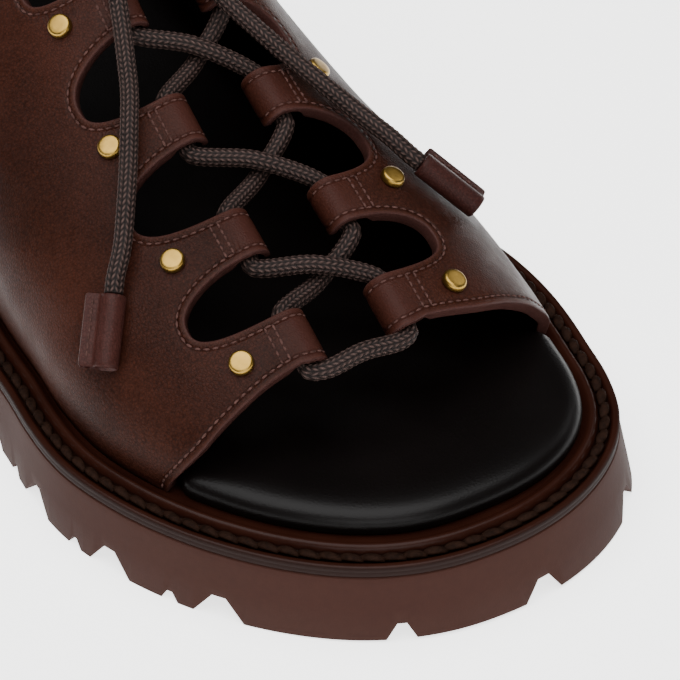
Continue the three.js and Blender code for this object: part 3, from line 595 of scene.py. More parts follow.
def loop_at(i, side):
    u = (TABS[i, 0] + TABS[i, 1]) / 2 * LENGTH
    x = line_x(i, side)
    axis = unit(on_skin(x, u + 4)[0] - on_skin(x, u - 4)[0])
    at = on_skin(x, u)[0] - normal_over(x, u) * LOOP_R
    return {"front": at - axis * LOOP_LENGTH / 2, "rear": at + axis * LOOP_LENGTH / 2, "axis": axis}


LOOPS = {side: [loop_at(i, side) for i in range(5)] for side in (-1, 1)}


def crossing_path():
    """The lace from its turn at one top loop, down and over the toe, to the other top loop."""
    out, into = LOOPS[-1], LOOPS[1]
    clear, inside, pass_by, bar_bow, bar_ahead = 0.8, 2, LACE * 0.62, 1.6, 2.5

    def half(first, second):
        points = []
        for i in range(4):
            here, after = (first[i], second[i + 1]) if i % 2 == 0 else (second[i], first[i + 1])
            if i > 0:
                points.append(here["front"] - here["axis"] * clear)
            points.append(here["front"] + here["axis"] * inside)
            points.append(here["rear"] - here["axis"] * inside)
            points.append(here["rear"] + here["axis"] * clear)
            middle = (here["rear"] + (after["front"] if i < 3 else after["rear"])) / 2
            middle[2] += (1 if (first is into) == (i % 2 == 0) else -1) * pass_by
            points.append(middle)
        top = first[4]
        for along, share in TURN:
            p = top["rear"] + top["axis"] * along
            p[0] = THROAT + (top["rear"][0] - THROAT) * share
            points.append(p)
        points.append(top["rear"] - top["axis"] * LOOP_LENGTH / 2)
        return points

    left, right = half(out, into), half(into, out)
    a, b = out[0]["front"], into[0]["front"]
    ahead = unit(out[0]["axis"] + into[0]["axis"])
    bow = lambda k: np.array([0, 0, bar_bow * (1 - (2 * k - 1) ** 2)])
    bar = [a + (b - a) * k - ahead * bar_ahead + bow(k) for k in (0.13, 0.5, 0.87)]
    first, last = (e["front"] - e["axis"] * 0.9 for e in (out[0], into[0]))
    return left[::-1] + [first] + bar + [last] + right


BRAID_COLUMNS, BRAID_PITCH, BRAID_DEPTH, BRAID_SINK = 12, 1.22, 0.34, 0.66


def braid(angle, length):
    """Relief of a round braid: slanted strands in paired columns."""
    c = angle * BRAID_COLUMNS / (2 * np.pi)
    k = np.floor(c)
    across = c - k - 0.5
    slant = np.where(k % 2 == 0, 1.0, -1.0)
    along = length / BRAID_PITCH + slant * across * 0.85
    rise = np.abs(np.sin(np.pi * along)) ** 0.5
    arch = np.cos(np.pi * across * 0.94) ** 0.5
    return BRAID_DEPTH * (rise * arch - BRAID_SINK)


def lace(name, points):
    path = catmull(points)
    total = run_length(path)[-1]
    verts, faces, rise = tube(resample(path, int(total / 0.24) + 1), LACE / 2, 48, braid)
    # lift is the braid's height; the lace shader paints it dark in the gaps as shade and light on the tops as
    # highlight
    lift = np.clip(rise / BRAID_DEPTH + BRAID_SINK, 0, 1)
    obj = build(name, verts, faces, [CORD], node=name, fields={"lift": lift})


def add_stitch(verts, faces, a, b, up, radius, sides=6, rows=7, lift=0.12):
    """A short plump thread from a to b, bowed up in its middle."""
    base = len(verts)
    along = unit(b - a)
    across = unit(np.cross(up, along))
    top = np.cross(along, across)
    for i in range(rows):
        q = i / (rows - 1)
        fat = radius * math.sin(math.pi * min(max(q, 0.04), 0.96)) ** 0.45
        at = a + (b - a) * q + top * (lift * math.sin(math.pi * q) - 0.05)
        for j in range(sides):
            w = 2 * math.pi * j / sides
            verts.append(at + across * (math.cos(w) * fat) + top * (math.sin(w) * 0.8 * fat))
    faces.extend(capped(rows, sides, base))


def lace_tip(name, points, flap):
    """A strip of leather rolled round the lace's end, its two ends pressed and stitched as a flap."""
    p = np.array(points, float)
    start, axis = p[-1], unit(p[-1] - p[-2])
    side = np.array(flap, float)
    side = unit(side - axis * (side @ axis))
    up = np.cross(axis, side)
    if up[2] < 0:
        up = -up
    r, tail, half, closing = TIP_D / 2, TIP_D / 2 + TIP_FLAP, 0.95, 0.72
    turns = [math.radians(28 + 304 * k / 32) for k in range(33)]
    low = [(r * 0.95 + (tail - r * 0.95) * k / 6, 0.2 * math.sin(k) - half) for k in range(1, 7)]
    low[0] = (r * 1.02, -0.98)
    ring = [(r * math.cos(a), r * math.sin(a)) for a in turns] + low + [(x, half) for x, _ in reversed(low)]
    ring = closed_resample(ring, 89)
    middle = ring.mean(0)
    levels = [0, 0.12, 0.4, 1, *np.linspace(2, TIP_LENGTH - 2, 18)]
    levels += [TIP_LENGTH - z for z in (1, 0.4, 0.12, 0)]
    rows = []

    def add_ring(z, share):
        for x, y in ring:
            q = middle + (np.array([x, y]) - middle) * share
            rows.append(start + axis * (GAP + z) + side * q[0] + up * q[1])

    for z in levels:
        add_ring(z, 1 - 0.1 * max(0, 1 - min(z, TIP_LENGTH - z) / 0.45) ** 2)
    n = len(ring)
    faces = grid_faces(len(levels), n)
    inner, last = len(rows), (len(levels) - 1) * n
    add_ring(0.5, closing)
    add_ring(TIP_LENGTH - 0.5, closing)
    for j in range(n):
        k = (j + 1) % n
        faces.append((j, inner + j, inner + k, k))
        faces.append((last + j, last + k, inner + n + k, inner + n + j))
    faces.append(tuple(inner + j for j in range(n)))
    faces.append(tuple(inner + n + j for j in range(n - 1, -1, -1)))
    obj = build(name, rows, faces, [TIPS], sharp=50, node=name)
    sv, sf = [], []
    for z in np.arange(1.2, TIP_LENGTH - 1.6, 1.65):
        for face in (1.0, -1.0):
            at = start + axis * (GAP + z) + side * (r + 1.15) + up * face * 0.98
            add_stitch(sv, sf, at, at + axis * 1.2, up * face, 0.24)
    return obj, build(name + "_stitches", sv, sf, [THREAD])


ENDS = (("lateral", LATERAL_END, (-1, 0.3, -0.2)), ("medial", MEDIAL_END, (0.6, 0.6, -0.1)))
tips = {key: lace_tip("lace_tip_" + key, points, flap) for key, points, flap in ENDS}
lace("lace_crossings", crossing_path())
for key, points, _ in ENDS:
    lace("lace_end_" + key, points)


# Outline rings
def plan_ring(count=420):
    """The welt's outline as a closed ring of (x, u), evenly spaced."""
    u = LENGTH * (1 - np.cos(np.pi * np.linspace(0, 1, 1500))) / 2
    left, right = (np.stack([outline_x(u, side), u], 1) for side in (-1, 1))
    return resample(np.concatenate([left, right[::-1][1:]]), count + 1)[:-1]


def inset(ring, by):
    """The ring moved inwards by a distance, or by one distance for each point."""
    d = np.roll(ring, -1, 0) - np.roll(ring, 1, 0)
    size = np.linalg.norm(d, axis=1)
    return np.stack([ring[:, 0] + d[:, 1] / size * by, ring[:, 1] - d[:, 0] / size * by], 1)


def raised(ring, over, z):
    """The ring's points in space, z above the height that a function gives for each station."""
    return np.stack([ring[:, 0], ring[:, 1] - LENGTH / 2, over(np.clip(ring[:, 1], 0, LENGTH)) + z], 1)


RING = plan_ring()


# Welt
def welt():
    profile = [(WELT_WIDTH, GAP), (0.25, GAP), (0.05, 0.45), (0, 0.8), (0, 1.35), (0.06, 1.5), (0, 1.65),
               (0, WELT - 0.6), (0.08, WELT - 0.28), (0.3, WELT - 0.06), (0.6, WELT), (1.05, WELT),
               (1.35, WELT - 0.06), (1.55, WELT - 0.35), (1.75, WELT - 0.72), (2.1, WELT - 0.85),
               (3.0, WELT - 0.9), (3.9, WELT - 0.85), (4.15, WELT - 0.5), (4.3, WELT - 0.05),
               (4.5, WELT + 0.42), (4.8, WELT + 0.8), (5.15, WELT + 0.98), (5.5, WELT + 1.0),
               (5.85, WELT + 0.85), (6.2, WELT + 0.5), (6.6, WELT + 0.05), (7.1, LEDGE + 0.1),
               (7.6, LEDGE), (9.5, LEDGE), (WELT_WIDTH, LEDGE)]
    verts = np.concatenate([raised(inset(RING, d), sole_top, z) for d, z in profile])
    faces = grid_faces(len(profile), len(RING), loop_rows=True)
    side = [float(d < 0.2 and z < WELT - 0.2) for d, z in profile]
    # channel marks the stitch channel, which the welt shader darkens as painted shade
    channel = [float(1.6 < d < 4.2) for d, _ in profile]
    fields = {"side": np.repeat(side, len(RING)), "channel": np.repeat(channel, len(RING))}
    build("welt", verts, faces, [WELT_SKIN], node="welt", fields=fields)


def welt_stitches():
    """Fat twisted stitches end to end in the channel, each a little aslant."""
    channel_middle, thickness, flatness, aslant, sunk, twist = 2.9, 0.98, 0.66, 0.75, 0.62, 2.4
    line = inset(RING, channel_middle)
    closed = np.concatenate([line, line[:1]])
    count = int(round(run_length(closed)[-1] / WELT_PITCH))
    steps, sides = 8, 10
    at = resample(closed, count * steps + 1)[:-1]
    q = np.linspace(0, 1, steps + 2)
    verts, faces = [], []
    for k in range(count):
        seg = [at[(k * steps + j) % len(at)] for j in range(-1, steps + 1)]
        path = []
        for j, (x, u) in enumerate(seg):
            tangent = unit(seg[min(j + 1, steps + 1)] - seg[max(j - 1, 0)])
            aside = (q[j] - 0.5) * aslant
            x, u = x + tangent[1] * aside, u - tangent[0] * aside
            z = float(sole_top(min(max(u, 0), LENGTH))) + WELT - sunk + sunk * math.sin(math.pi * q[j]) ** 0.7
            path.append((x, u - LENGTH / 2, z))
        path = np.array(path)
        tangent = frames(path)[0]
        base = len(verts)
        for j in range(len(path)):
            fat = thickness * math.sin(math.pi * min(max(q[j], 0.06), 0.94)) ** 0.4
            flat = unit(np.array([tangent[j][1], -tangent[j][0], 0]))
            top = np.cross(flat, tangent[j])
            if top[2] < 0:
                top = -top
            for w in range(sides):
                a = 2 * math.pi * w / sides
                size = fat * (1 + 0.1 * math.cos(2 * (a - 1.2 - twist * q[j])))
                verts.append(path[j] + flat * (math.cos(a) * size) + top * (math.sin(a) * flatness * size))
        faces.extend(capped(len(path), sides, base))
    build("welt_stitches", verts, faces, [WELT_THREAD])


welt()
welt_stitches()


# Footbed
def footbed():
    """A padded board with a rounded edge; it steps in where the upper's wall begins."""
    count = 900
    t = np.concatenate([np.linspace(0, 1, count), np.linspace(1, 0, count)[1:-1]])
    side = np.concatenate([np.full(count, -1.0), np.full(count - 2, 1.0)])
    feather = closed_resample(skin(t, np.zeros_like(t), side)[:, :2], 420)
    feather[:, 1] += LENGTH / 2
    sides = np.where(feather[:, 0] < centre(feather[:, 1]), -1, 1)
    opening = LENGTH * np.where(sides < 0, TOE_EDGE[1, 1], TOE_EDGE[1, 2])
    k = np.clip((feather[:, 1] - (opening - 3.4)) / 4, 0, 1)
    edge = 0.5 + (WALL + 0.5) * k * k * (3 - 2 * k)
    sink = 0.06
    profile = [(0.9, 0.0), (0.15, 0.25), (-0.05, 0.9), (-0.1, 1.6), (0, 2.3), (0.25, 2.95), (0.65, 3.5),
               (1.2, 4.0), (1.9, 4.4), (2.8, 4.7), (3.9, 4.88), (5.5, FOOTBED - 0.02), (7.5, FOOTBED - sink)]
    rows = [raised(inset(feather, edge + d), foot_line, z) for d, z in profile]
    last = inset(feather, edge + profile[-1][0])
    spine_u = np.clip(last[:, 1], 45, LENGTH - 36)
    spine = np.stack([centre(spine_u), spine_u], 1)
    for q in np.linspace(0.06, 1, 16):
        dish = 0.5 * (1 - (1 - q) ** 2)
        rows.append(raised(last + (spine - last) * q, foot_line, FOOTBED - sink - dish))
    n = len(feather)
    faces, base = grid_faces(len(rows), n), len(rows) * n
    rows.append(raised(inset(feather, edge + 3), foot_line, 0.0))
    faces += [(base + j, base + (j + 1) % n, (j + 1) % n, j) for j in range(n)]
    obj = build("footbed", np.concatenate(rows), faces, [PAD], node="footbed")


footbed()


# Outsole
def bare(name, verts, faces):
    """A plain mesh object in metres with its faces turned outwards."""
    mesh = bpy.data.meshes.new(name)
    mesh.from_pydata((np.array(verts) * MM).tolist(), [], faces)
    mesh.validate()
    bm = bmesh.new()
    bm.from_mesh(mesh)
    bmesh.ops.recalc_face_normals(bm, faces=bm.faces)
    bm.to_mesh(mesh)
    bm.free()
    return add(name, mesh)


def apply_modifiers(obj):
    graph = bpy.context.evaluated_depsgraph_get()
    obj.data = bpy.data.meshes.new_from_object(obj.evaluated_get(graph))
    obj.modifiers.clear()


def sole_block():
    """The outsole without its channels."""
    bottom = inset(RING, -FLARE)
    low = raised(bottom, sole_bottom, 0.0)
    low[:, 0] += TREAD_SHIFT
    high = raised(inset(RING, -0.1), sole_top, 0.0)
    rows = [low + (high - low) * q for q in (0, 0.5, 0.9, 1.0)] + [raised(inset(RING, 0.25), sole_top, 0.25)]
    n = len(RING)
    faces = grid_faces(len(rows), n)
    start = int(np.argmin(RING[:, 1]))
    order = [(start + k) % n for k in range(n)]
    for base, flip in ((0, True), ((len(rows) - 1) * n, False)):
        for i in range(n // 2):
            corners = (order[i], order[i + 1], order[(n - i - 1) % n], order[(n - i) % n])
            quad = [base + v for v in dict.fromkeys(corners)]
            if len(quad) > 2:
                faces.append(tuple(quad[::-1] if flip else quad))
    return bare("outsole", np.concatenate(rows), faces)


def sole_cutters():
    """Wedges: side channels, nicks, and the underside's runs and bars."""
    verts, faces = [], []

    def groove(a, b, width, depth):
        across = unit(np.array([-(b - a)[1], (b - a)[0], 0]))
        base = len(verts)
        for p in (a, b):
            for off, z in ((-0.62, -1.2), (0.62, -1.2), (0.14, depth), (-0.14, depth)):
                q = p + across * (off * width)
                verts.append((q[0], q[1], z))
        faces.extend([(base, base + 1, base + 2, base + 3), (base + 7, base + 6, base + 5, base + 4)])
        for j in range(4):
            k = (j + 1) % 4
            faces.append((base + j, base + 4 + j, base + 4 + k, base + k))

    def place(at, side):
        u = at * LENGTH
        return np.array([float(outline_x(u, side)), u - LENGTH / 2, 0.0])

    def flat_point(x, at):
        return np.array([x, (at - 0.5) * LENGTH, 0])

    for at, side, width, depth, reach in CHANNELS + [(a, s, 4, 2.2, 5) for a, s in NICKS]:
        here, along = place(at, side), place(min(at + 0.004, 1), side) - place(max(at - 0.004, 0), side)
        along = unit(along)
        inward = np.array([-side * along[1], side * along[0], 0])
        groove(here - inward * 6, here + inward * reach, width, depth)
    run_width, run_depth = 6, 4.2
    for begin, end, across in RUNS:
        x = across * BALL
        groove(flat_point(x, begin), flat_point(x * 0.82, end), run_width, run_depth)
    for at in (0.14, 0.21, 0.28, 0.35, 0.78, 0.86):
        reach = 14 if at > 0.5 else 20
        groove(flat_point(-reach - 3, at), flat_point(reach - 3, at + 0.02), run_width, run_depth)
    return bare("cutters", verts, faces)


def outsole():
    """The block with every channel cut out of it and its edges softened."""
    block, cutter = sole_block(), sole_cutters()
    m = block.modifiers.new("cut", "BOOLEAN")
    m.operation, m.solver, m.object, m.use_self = "DIFFERENCE", "EXACT", cutter, True
    apply_modifiers(block)
    bpy.data.objects.remove(cutter)
    m = block.modifiers.new("soften", "BEVEL")
    m.width, m.segments, m.limit_method, m.angle_limit = 0.45 * MM, 2, "ANGLE", math.radians(28)
    m.use_clamp_overlap = True
    apply_modifiers(block)
    mesh = block.data
    mesh.materials.clear()
    mesh.materials.append(RUBBER)
    mesh.polygons.foreach_set("use_smooth", np.ones(len(mesh.polygons), bool))
    mesh.set_sharp_from_angle(angle=math.radians(32))
    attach(block, "root")
    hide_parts("outsole")


outsole()


# Upper
SPAN = 300.0
WRAP = math.radians(225)
TAIL = 2.6
BOTTOM = -0.25
WRAP_END = LOOP_R * WRAP + TAIL
EDGE_ROWS = (0.45, 0.85, STITCH_IN, 1.75, 2.4, 3.2)
TAB_ROWS = (3.4, 5.3)
NEAR_TABS = -13
DENT, DENT_WIDTH, RIM_ROUND = 0.11, 0.42, 0.66
h_table = np.linspace(6, SHAFT, 400)


def tangent_share(side):
    """Share along the ring where the skin stands over the loops' middle line, by height."""
    want = line_x(0, side)
    short = lambda t: side * (skin(t, h_table, side)[:, 0] - want) < 0
    low, high = halved(np.zeros_like(h_table), np.full_like(h_table, 0.45), short, 40)
    return (low + high) / 2


TAU = {side: tangent_share(side) for side in (-1, 1)}


def tau(h, side):
    return np.where(np.asarray(side) < 0, np.interp(h, h_table, TAU[-1]), np.interp(h, h_table, TAU[1]))


def surface(W, h):
    """Outer surface over the flat domain: point, normal, distance past the loops' middle line."""
    W, h = np.asarray(W, float), np.asarray(h, float)
    side = np.where(W <= SPAN, -1.0, 1.0)
    w = np.where(W <= SPAN, W, 2 * SPAN - W)
    line = tau(h, side)
    d = np.maximum(line * SPAN - w, 0)
    t = np.maximum(w / SPAN, line * (d > 0))
    p, n = skin(t, h, side), skin_normal(t, h, side)
    e = 0.6
    ahead = unit(skin(tau(h + e, side), h + e, side) - skin(tau(h - e, side), h - e, side))
    aside = np.cross(ahead, n)
    aside = unit(aside * np.where(aside[..., :1] * side[..., None] > 0, -1, 1))
    phi = np.minimum(d / LOOP_R, WRAP)
    rest = np.maximum(d - LOOP_R * WRAP, 0)
    q = LOOP_R * np.sin(phi) + rest * math.cos(WRAP)
    down = -LOOP_R * (1 - np.cos(phi)) - rest * math.sin(WRAP)
    over = d > 0
    p = np.where(over[..., None], p + aside * q[..., None] + n * down[..., None], p)
    n = np.where(over[..., None], unit(aside * np.sin(phi)[..., None] + n * np.cos(phi)[..., None]), n)
    before = np.linalg.norm(p - skin(line, h, side), axis=-1)
    return p, n, np.where(over, d, -before)


def flat(w, side):
    """The flat place of a distance along one side, which is mirrored on the medial side."""
    return w if side < 0 else 2 * SPAN - w


def flat_at(u, h, side):
    """Flat coordinates of the skin's point at a station and a height."""
    front, rear = (float(end) for end in ends(h))
    t = math.acos(min(max(1 - 2 * (u - front) / (rear - front), -1), 1)) / math.pi
    return flat(t * SPAN, side), h


def line_height(u, side):
    """Height over the feather line where the loops' middle line passes a station."""
    stations = skin(TAU[side], h_table, side)[:, 1] + LENGTH / 2
    return float(np.interp(u, stations, h_table))


def wrap_point(h, d, side):
    """A flat point a distance past the middle line, round the loop."""
    return flat(float(tau(h, side)) * SPAN - d, side), h


def toe_edge(side):
    """The cut edge beside the toe, from the sole to the first tab."""
    edge = curve(TOE_EDGE[:, 0], TOE_EDGE[:, 1] if side < 0 else TOE_EDGE[:, 2])
    first = TABS[0, 0] * LENGTH
    points = []
    for z in np.linspace(float(foot_line(0.155 * LENGTH)) + BOTTOM,
                         line_height(first, side) + float(foot_line(first)), 60):
        u = float(edge(z)) * LENGTH
        at = flat_at(u, z - float(foot_line(u)), side)
        if at[1] > 12 and flat(at[0], side) < float(tau(at[1], side)) * SPAN + 0.6:
            break
        points.append(at)
    return points


def tab_edge(front, rear, side):
    """Round one tab: along its front over the loop, across its end, and back along its rear."""
    tuck = lambda d: 1.4 * min(max((d - 6) / 6, 0), 1) ** 1.5
    inner = front + tuck(WRAP_END)
    return ([wrap_point(front + tuck(d), d, side) for d in np.linspace(0.3, WRAP_END, 26)]
            + [wrap_point(inner + (rear - inner) * k, WRAP_END, side) for k in np.linspace(0.08, 0.92, 12)]
            + [wrap_point(rear, d, side) for d in np.linspace(WRAP_END, 0.3, 26)])


def cut_out(i, side):
    """The rounded cut-out between a tab and the next one."""
    power = 0.8
    mouth = THROAT + side * ((REACH[i, 0] + REACH[i + 1, 0]) / 2 * BALL + LOOP_R * 1.1)
    deep = THROAT + side * BALL * (REACH[i, 3] if side < 0 else REACH[i, 4]) - mouth
    begin, end = TABS[i, 1] * LENGTH, TABS[i + 1, 0] * LENGTH
    limit = REACH[i, 0] * BALL + LINE_OUT + 0.25
    points = []
    for k in np.linspace(0, 1, 64)[1:-1]:
        a = math.pi * (k - 0.5)
        x = mouth + deep * abs(math.cos(a)) ** power
        u = (begin + end) / 2 + (end - begin) / 2 * math.copysign(abs(math.sin(a)) ** power, math.sin(a))
        if abs(x - THROAT) > limit:
            points.append(flat_at(u, on_skin(x, u)[1], side))
    return points


def collar_edge(side):
    """From the last tab's rear corner along the collar to the heel."""
    collar = curve(COLLAR[:, 0], COLLAR[:, 1])
    h = line_height(TABS[4, 1] * LENGTH, side)
    points = []

    def above(t, h):
        p = skin(t, h, side)
        return float(p[2]) - float(collar((p[1] + LENGTH / 2) / LENGTH))

    while above(float(tau(h, side)), h) < 0 and h < SHAFT - 2:
        points.append(wrap_point(h, 0.0, side))
        h += 0.7
    for t in np.linspace(float(tau(h, side)), 1, 150)[1:]:
        low, _ = halved(30.0, SHAFT, lambda middle: above(t, middle) <= 0, 30)
        points.append((flat(t * SPAN, side), float(low)))
    return points


def side_outline(side):
    """From the toe edge at the sole up round the tabs to the collar's end at the heel."""
    points = toe_edge(side)
    for i in range(5):
        front = points[-1][1] + 0.02 if i == 0 else line_height(TABS[i, 0] * LENGTH, side)
        points += tab_edge(front, line_height(TABS[i, 1] * LENGTH, side), side)
        if i < 4:
            points += cut_out(i, side)
    return points + collar_edge(side)


def within(points, ring):
    """Which points lie inside a closed ring."""
    inside = np.zeros(len(points), bool)
    x, y = points[:, 0], points[:, 1]
    for (x0, y0), (x1, y1) in zip(ring, np.roll(ring, -1, 0)):
        if y0 != y1:
            inside ^= ((y0 > y) != (y1 > y)) & (x < (x1 - x0) * (y - y0) / (y1 - y0) + x0)
    return inside


def area_of(ring):
    return 0.5 * np.sum(ring[:, 0] * np.roll(ring[:, 1], -1) - np.roll(ring[:, 0], -1) * ring[:, 1])


def inward_flat(cut, p, n, loop):
    """The flat step for each cut point that leads 1 mm inwards on the surface."""
    inward = np.cross(n, unit(np.gradient(p, axis=0)))
    e = 0.25
    by_w = (surface(cut[:, 0] + e, cut[:, 1])[0] - surface(cut[:, 0] - e, cut[:, 1])[0]) / (2 * e)
    by_h = (surface(cut[:, 0], cut[:, 1] + e)[0] - surface(cut[:, 0], cut[:, 1] - e)[0]) / (2 * e)
    a11, a12, a22 = (by_w * by_w).sum(1), (by_w * by_h).sum(1), (by_h * by_h).sum(1)
    b1, b2 = (by_w * inward).sum(1), (by_h * inward).sum(1)
    det = np.maximum(a11 * a22 - a12 * a12, 1e-6)
    step = np.stack([(a22 * b1 - a12 * b2) / det, (a11 * b2 - a12 * b1) / det], 1)
    ahead = np.gradient(cut, axis=0)
    to_left = ahead[:, 0] * step[:, 1] - ahead[:, 1] * step[:, 0]
    return step if (np.median(to_left) > 0) == (area_of(loop) > 0) else -step


def lattice(across, along):
    W = np.arange(-24, 2 * SPAN + 24, across)
    return np.concatenate([np.stack([W + (j % 2) * across / 2, np.full_like(W, h)], 1)
                           for j, h in enumerate(np.arange(1.0, SHAFT, along))])


def inner_points(cut, step, loop, away_from):
    """Flat points inside the outline: rows beside the cut edge, and a lattice that is finer at the tabs."""
    extra = []
    for d in EDGE_ROWS:
        row = cut + step * d
        for _ in range(3):
            away = away_from(surface(row[:, 0], row[:, 1])[0])
            row = row + step * (d - away)[:, None] * (np.abs(d - away) < 0.6)[:, None]
        extra.extend(row[k] for k in range(0, len(row), 1 if d < 3 else 2) if abs(away[k] - d) < 0.12)
    for grid, fine, limit in ((lattice(1.6, 1.4), False, 3.9), (lattice(0.8, 0.7), True, 3.4)):
        p, _, q = surface(grid[:, 0], grid[:, 1])
        chosen = (q >= NEAR_TABS) == fine
        grid, p = grid[chosen], p[chosen]
        extra.extend(grid[(away_from(p) > limit) & (grid[:, 1] > 0.8)])
    free = np.array(extra)
    return free[within(free, loop)]


def triangulated(points, loop):
    """Flat vertices and triangles inside the outline."""
    count = len(loop)
    borders = [(i, (i + 1) % count) for i in range(count)]
    result = delaunay_2d_cdt([Vector(v) for v in points], borders, [], 0, 1e-5, False)
    verts = np.array([(v[0], v[1]) for v in result[0]])
    tris = np.array([list(f) for f in result[2] if len(f) == 3])
    tris = tris[within(verts[tris].mean(1), loop)]
    used, tris = np.unique(tris, return_inverse=True)
    return verts[used], tris.reshape(-1, 3)


def border(tris):
    """The triangles' open edge as one chain of vertices."""
    edges = {pair: True for a, b, c in tris for pair in ((a, b), (b, c), (c, a))}
    after = {a: b for a, b in edges if (b, a) not in edges}
    first = next(iter(after))
    chain, v = [first], after[first]
    while v != first:
        chain.append(v)
        v = after[v]
    return chain


def sew(verts, faces, line, norm, number, sink, radius):
    """Even stitches along a line, sunk into the leather."""
    s = run_length(line)
    at = lambda place, values: np.array([np.interp(place, s, values[:, k]) for k in range(3)])
    for g in range(number):
        lo, hi = (g + 0.1) / number * s[-1], (g + 0.9) / number * s[-1]
        up = unit(at((lo + hi) / 2, norm))
        add_stitch(verts, faces, at(lo, line) - up * sink, at(hi, line) - up * sink, up, radius)


def upper():
    left, right = side_outline(-1), side_outline(1)
    cut = np.array(left + right[::-1][1:])
    foot = [(w, BOTTOM) for w in np.linspace(cut[-1, 0], cut[0, 0], 420)[1:-1]]
    s = run_length(surface(cut[:, 0], cut[:, 1])[0])
    want = np.linspace(0, s[-1], int(s[-1] / 0.75))
    cut = np.stack([np.interp(want, s, cut[:, k]) for k in (0, 1)], 1)
    p, n, _ = surface(cut[:, 0], cut[:, 1])
    loop = np.concatenate([cut, np.array(foot)])
    step = inward_flat(cut, p, n, loop)
    near = kdtree.KDTree(len(p))
    for i, v in enumerate(p):
        near.insert(v, i)
    near.balance()
    away_from = lambda points: np.array([near.find(v)[2] for v in points])
    points = np.concatenate([loop, inner_points(cut, step, loop, away_from)])
    flat_verts, tris = triangulated(points, loop)
    P, N, Q = surface(flat_verts[:, 0], flat_verts[:, 1])
    face_n = np.cross(P[tris[:, 1]] - P[tris[:, 0]], P[tris[:, 2]] - P[tris[:, 0]])
    if (face_n * N[tris[:, 0]]).sum() < 0:
        tris = tris[:, ::-1]
    edge = away_from(P)
    P = P - N * (DENT * np.exp(-((edge - STITCH_IN) / DENT_WIDTH) ** 2))[:, None]
    k = np.clip((-3 - Q) / 2, 0, 1)
    thick = LAYER + (WALL - LAYER) * k * k * (3 - 2 * k)
    inner = P - N * thick[:, None]
    m = len(P)
    chain = border(tris)
    at, normal, thick = P[chain], N[chain], thick[chain][:, None]
    out = np.cross(unit(np.roll(at, -1, 0) - np.roll(at, 1, 0)), normal)
    out = out * (RIM_ROUND * np.where(flat_verts[chain][:, 1] < BOTTOM + 0.02, 0.05, 1))[:, None]
    rows = [at + out * a - normal * b for a, b in ((0.26, 0.07), (0.43, 0.22), (0.5, 0.48))]
    rows += [at + out * a - normal * (thick - b) for a, b in ((0.45, 0.2), (0.3, 0.06))]
    verts = np.concatenate([P, inner] + rows)
    faces = [tuple(f) for f in tris] + [tuple(m + i for i in f[::-1]) for f in tris]
    slots = [0] * len(tris) + [1] * len(tris)
    c = len(chain)
    column = lambda j: [chain[j]] + [2 * m + k * c + j for k in range(len(rows))] + [m + chain[j]]
    for j in range(c):
        ids, after = column(j), column((j + 1) % c)
        for k in range(len(ids) - 1):
            faces.append((after[k], ids[k], ids[k + 1], after[k + 1]))
            slots.append(2)
    # fold is strongest near the top of the roll round each loop: part redder leather, part painted highlight
    fold = np.clip(1 - np.abs(Q - 1.5) / 7, 0, 1) * (Q > -5) * 0.8
    rim = np.zeros(c * len(rows))
    fields = {"edge": np.concatenate([edge, np.full(m, 9.0), rim]),
              "fold": np.concatenate([fold, np.zeros(m), rim])}
    leathers = [SKIN_LEATHER, LINING, EDGE]
    build("upper", verts, faces, leathers, slots=slots, node="upper", fields=fields)
    upper_stitches(cut + step * STITCH_IN, loop, away_from)


def upper_stitches(row, loop, away_from):
    """Stitches beside every cut edge, and two rows across each tab that hold its fold."""
    p, n, past = surface(row[:, 0], row[:, 1])
    good = (np.abs(away_from(p) - STITCH_IN) < 0.25) & (past < 6)
    verts, faces = [], []
    run = []
    for i in range(len(p) + 1):
        if i < len(p) and good[i] and (not run or np.linalg.norm(p[i] - p[run[-1]]) < 2.2):
            run.append(i)
            continue
        if len(run) > 4:
            number = max(int(run_length(p[run])[-1] / STITCH_PITCH), 1)
            sew(verts, faces, p[run], n[run], number, 0.12, 0.25)
        run = [i] if i < len(p) and good[i] else []
    for side in (-1, 1):
        for i in range(5):
            front, rear = (line_height(TABS[i, k] * LENGTH, side) for k in (0, 1))
            hs = np.linspace(front - 2, rear + 2, 90)
            for back_by in TAB_ROWS:
                near_w = tau(hs, side) * SPAN
                short = lambda ws: surface(flat(ws, side), hs)[2] >= -back_by
                low, high = halved(near_w, near_w + 40, short, 29)
                ws = flat((low + high) / 2, side)
                line, norm, _ = surface(ws, hs)
                clear = (away_from(line) > 1.1) & within(np.stack([ws, hs], 1), loop)
                number = max(int(round(run_length(line[clear])[-1] / TAB_STITCH_PITCH)), 1)
                sew(verts, faces, line[clear], norm[clear], number, -0.02, 0.27)
    build("upper_stitches", verts, faces, [THREAD])


upper()


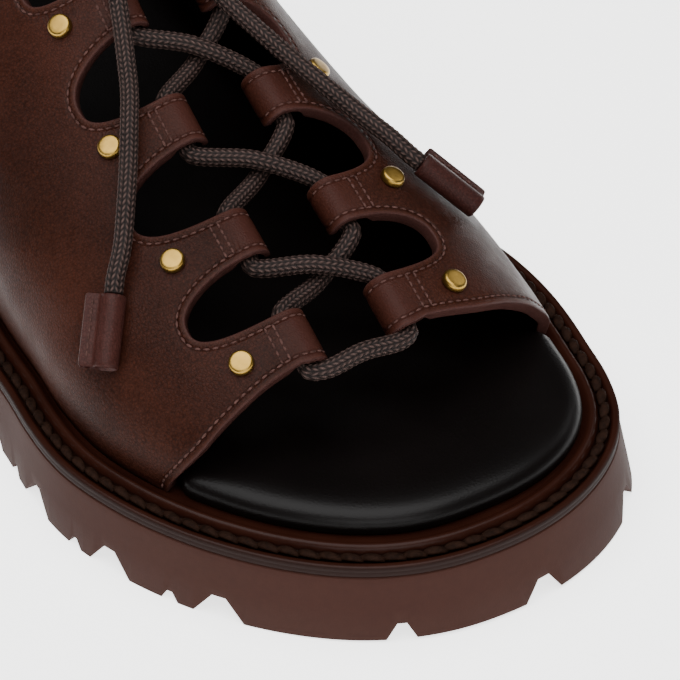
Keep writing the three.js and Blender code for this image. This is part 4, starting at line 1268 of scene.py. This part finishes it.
# Studs
def stud(name, side, i):
    x = THROAT + side * BALL * (REACH[i, 1] if side < 0 else REACH[i, 2])
    u = LENGTH * (TABS[i, 2] if side < 0 else TABS[i, 3])
    on, n = on_skin(x, u)[0], normal_over(x, u)
    one = unit(np.cross(n, [0, 0, 1.0]))
    two = np.cross(n, one)
    r, sides = STUD_D / 2, 48
    profile = [(0.9, -0.4), (0.95, 0.1), (r - 0.12, 0.1), (r, 0.22), (r + 0.02, 0.5), (r, STUD_H - 0.75),
               (r - 0.06, STUD_H - 0.5), (r - 0.16, STUD_H - 0.3), (r - 0.32, STUD_H - 0.12),
               (r - 0.52, STUD_H - 0.04), (r - 0.8, STUD_H), (r * 0.35, STUD_H + 0.02)]
    turns = [2 * math.pi * k / sides for k in range(sides)]
    verts = [on + n * z + one * (a * math.cos(w)) + two * (a * math.sin(w))
             for a, z in profile for w in turns]
    build(name, verts, capped(len(profile), sides), [BRASS], sharp=60, node=name)


for side, key in ((-1, "lateral"), (1, "medial")):
    for i in range(5):
        stud(f"stud_{key}_{i + 1}", side, i)

# Floor and light
FLOOR_HALF, FLOOR_GLOW, WORLD_LIGHT = 6, 2.2, 0.12
mat, tree, shader = tree_of("floor")
shade = ramp(tree, noise(tree, 3, 2, 0.5), [(0.3, (0.9, 0.9, 0.895)), (0.7, (0.91, 0.91, 0.905))])
plug(tree, shade, shader.inputs["Base Color"])
shader.inputs["Roughness"].default_value = 0.95
shader.inputs["Specular IOR Level"].default_value = 0.1
shader.inputs["Emission Color"].default_value = (1, 1, 0.995, 1)
shader.inputs["Emission Strength"].default_value = FLOOR_GLOW
floor_mesh = bpy.data.meshes.new("floor")
corners = [(x * FLOOR_HALF, y * FLOOR_HALF, 0) for x, y in ((-1, -1), (1, -1), (1, 1), (-1, 1))]
floor_mesh.from_pydata(corners, [], [(0, 1, 2, 3)])
floor_mesh.materials.append(mat)
add("floor", floor_mesh)

world = bpy.data.worlds.new("studio")
bpy.context.scene.world = world
world.use_nodes = True
sky = world.node_tree.nodes["Background"]
sky.inputs[0].default_value = (1, 1, 1, 1)
sky.inputs[1].default_value = WORLD_LIGHT


def area(name, at, aim, size, power):
    """A rectangular light, sizes and places in metres, power in watts."""
    data = bpy.data.lights.new(name, "AREA")
    data.shape, data.size, data.size_y = "RECTANGLE", *size
    data.energy = power
    obj = add(name, data)
    obj.location = at
    look(obj, Vector(aim) - Vector(at))


area("top", (-0.2, -0.2, 1.5), (0, -0.03, 0.03), (1.9, 1.6), 52)
area("front", (-0.55, -1.6, 0.75), (0, -0.05, 0.03), (1.5, 0.7), 15)
area("right", (1.35, 0.15, 0.95), (0, -0.03, 0.05), (0.6, 0.4), 2)
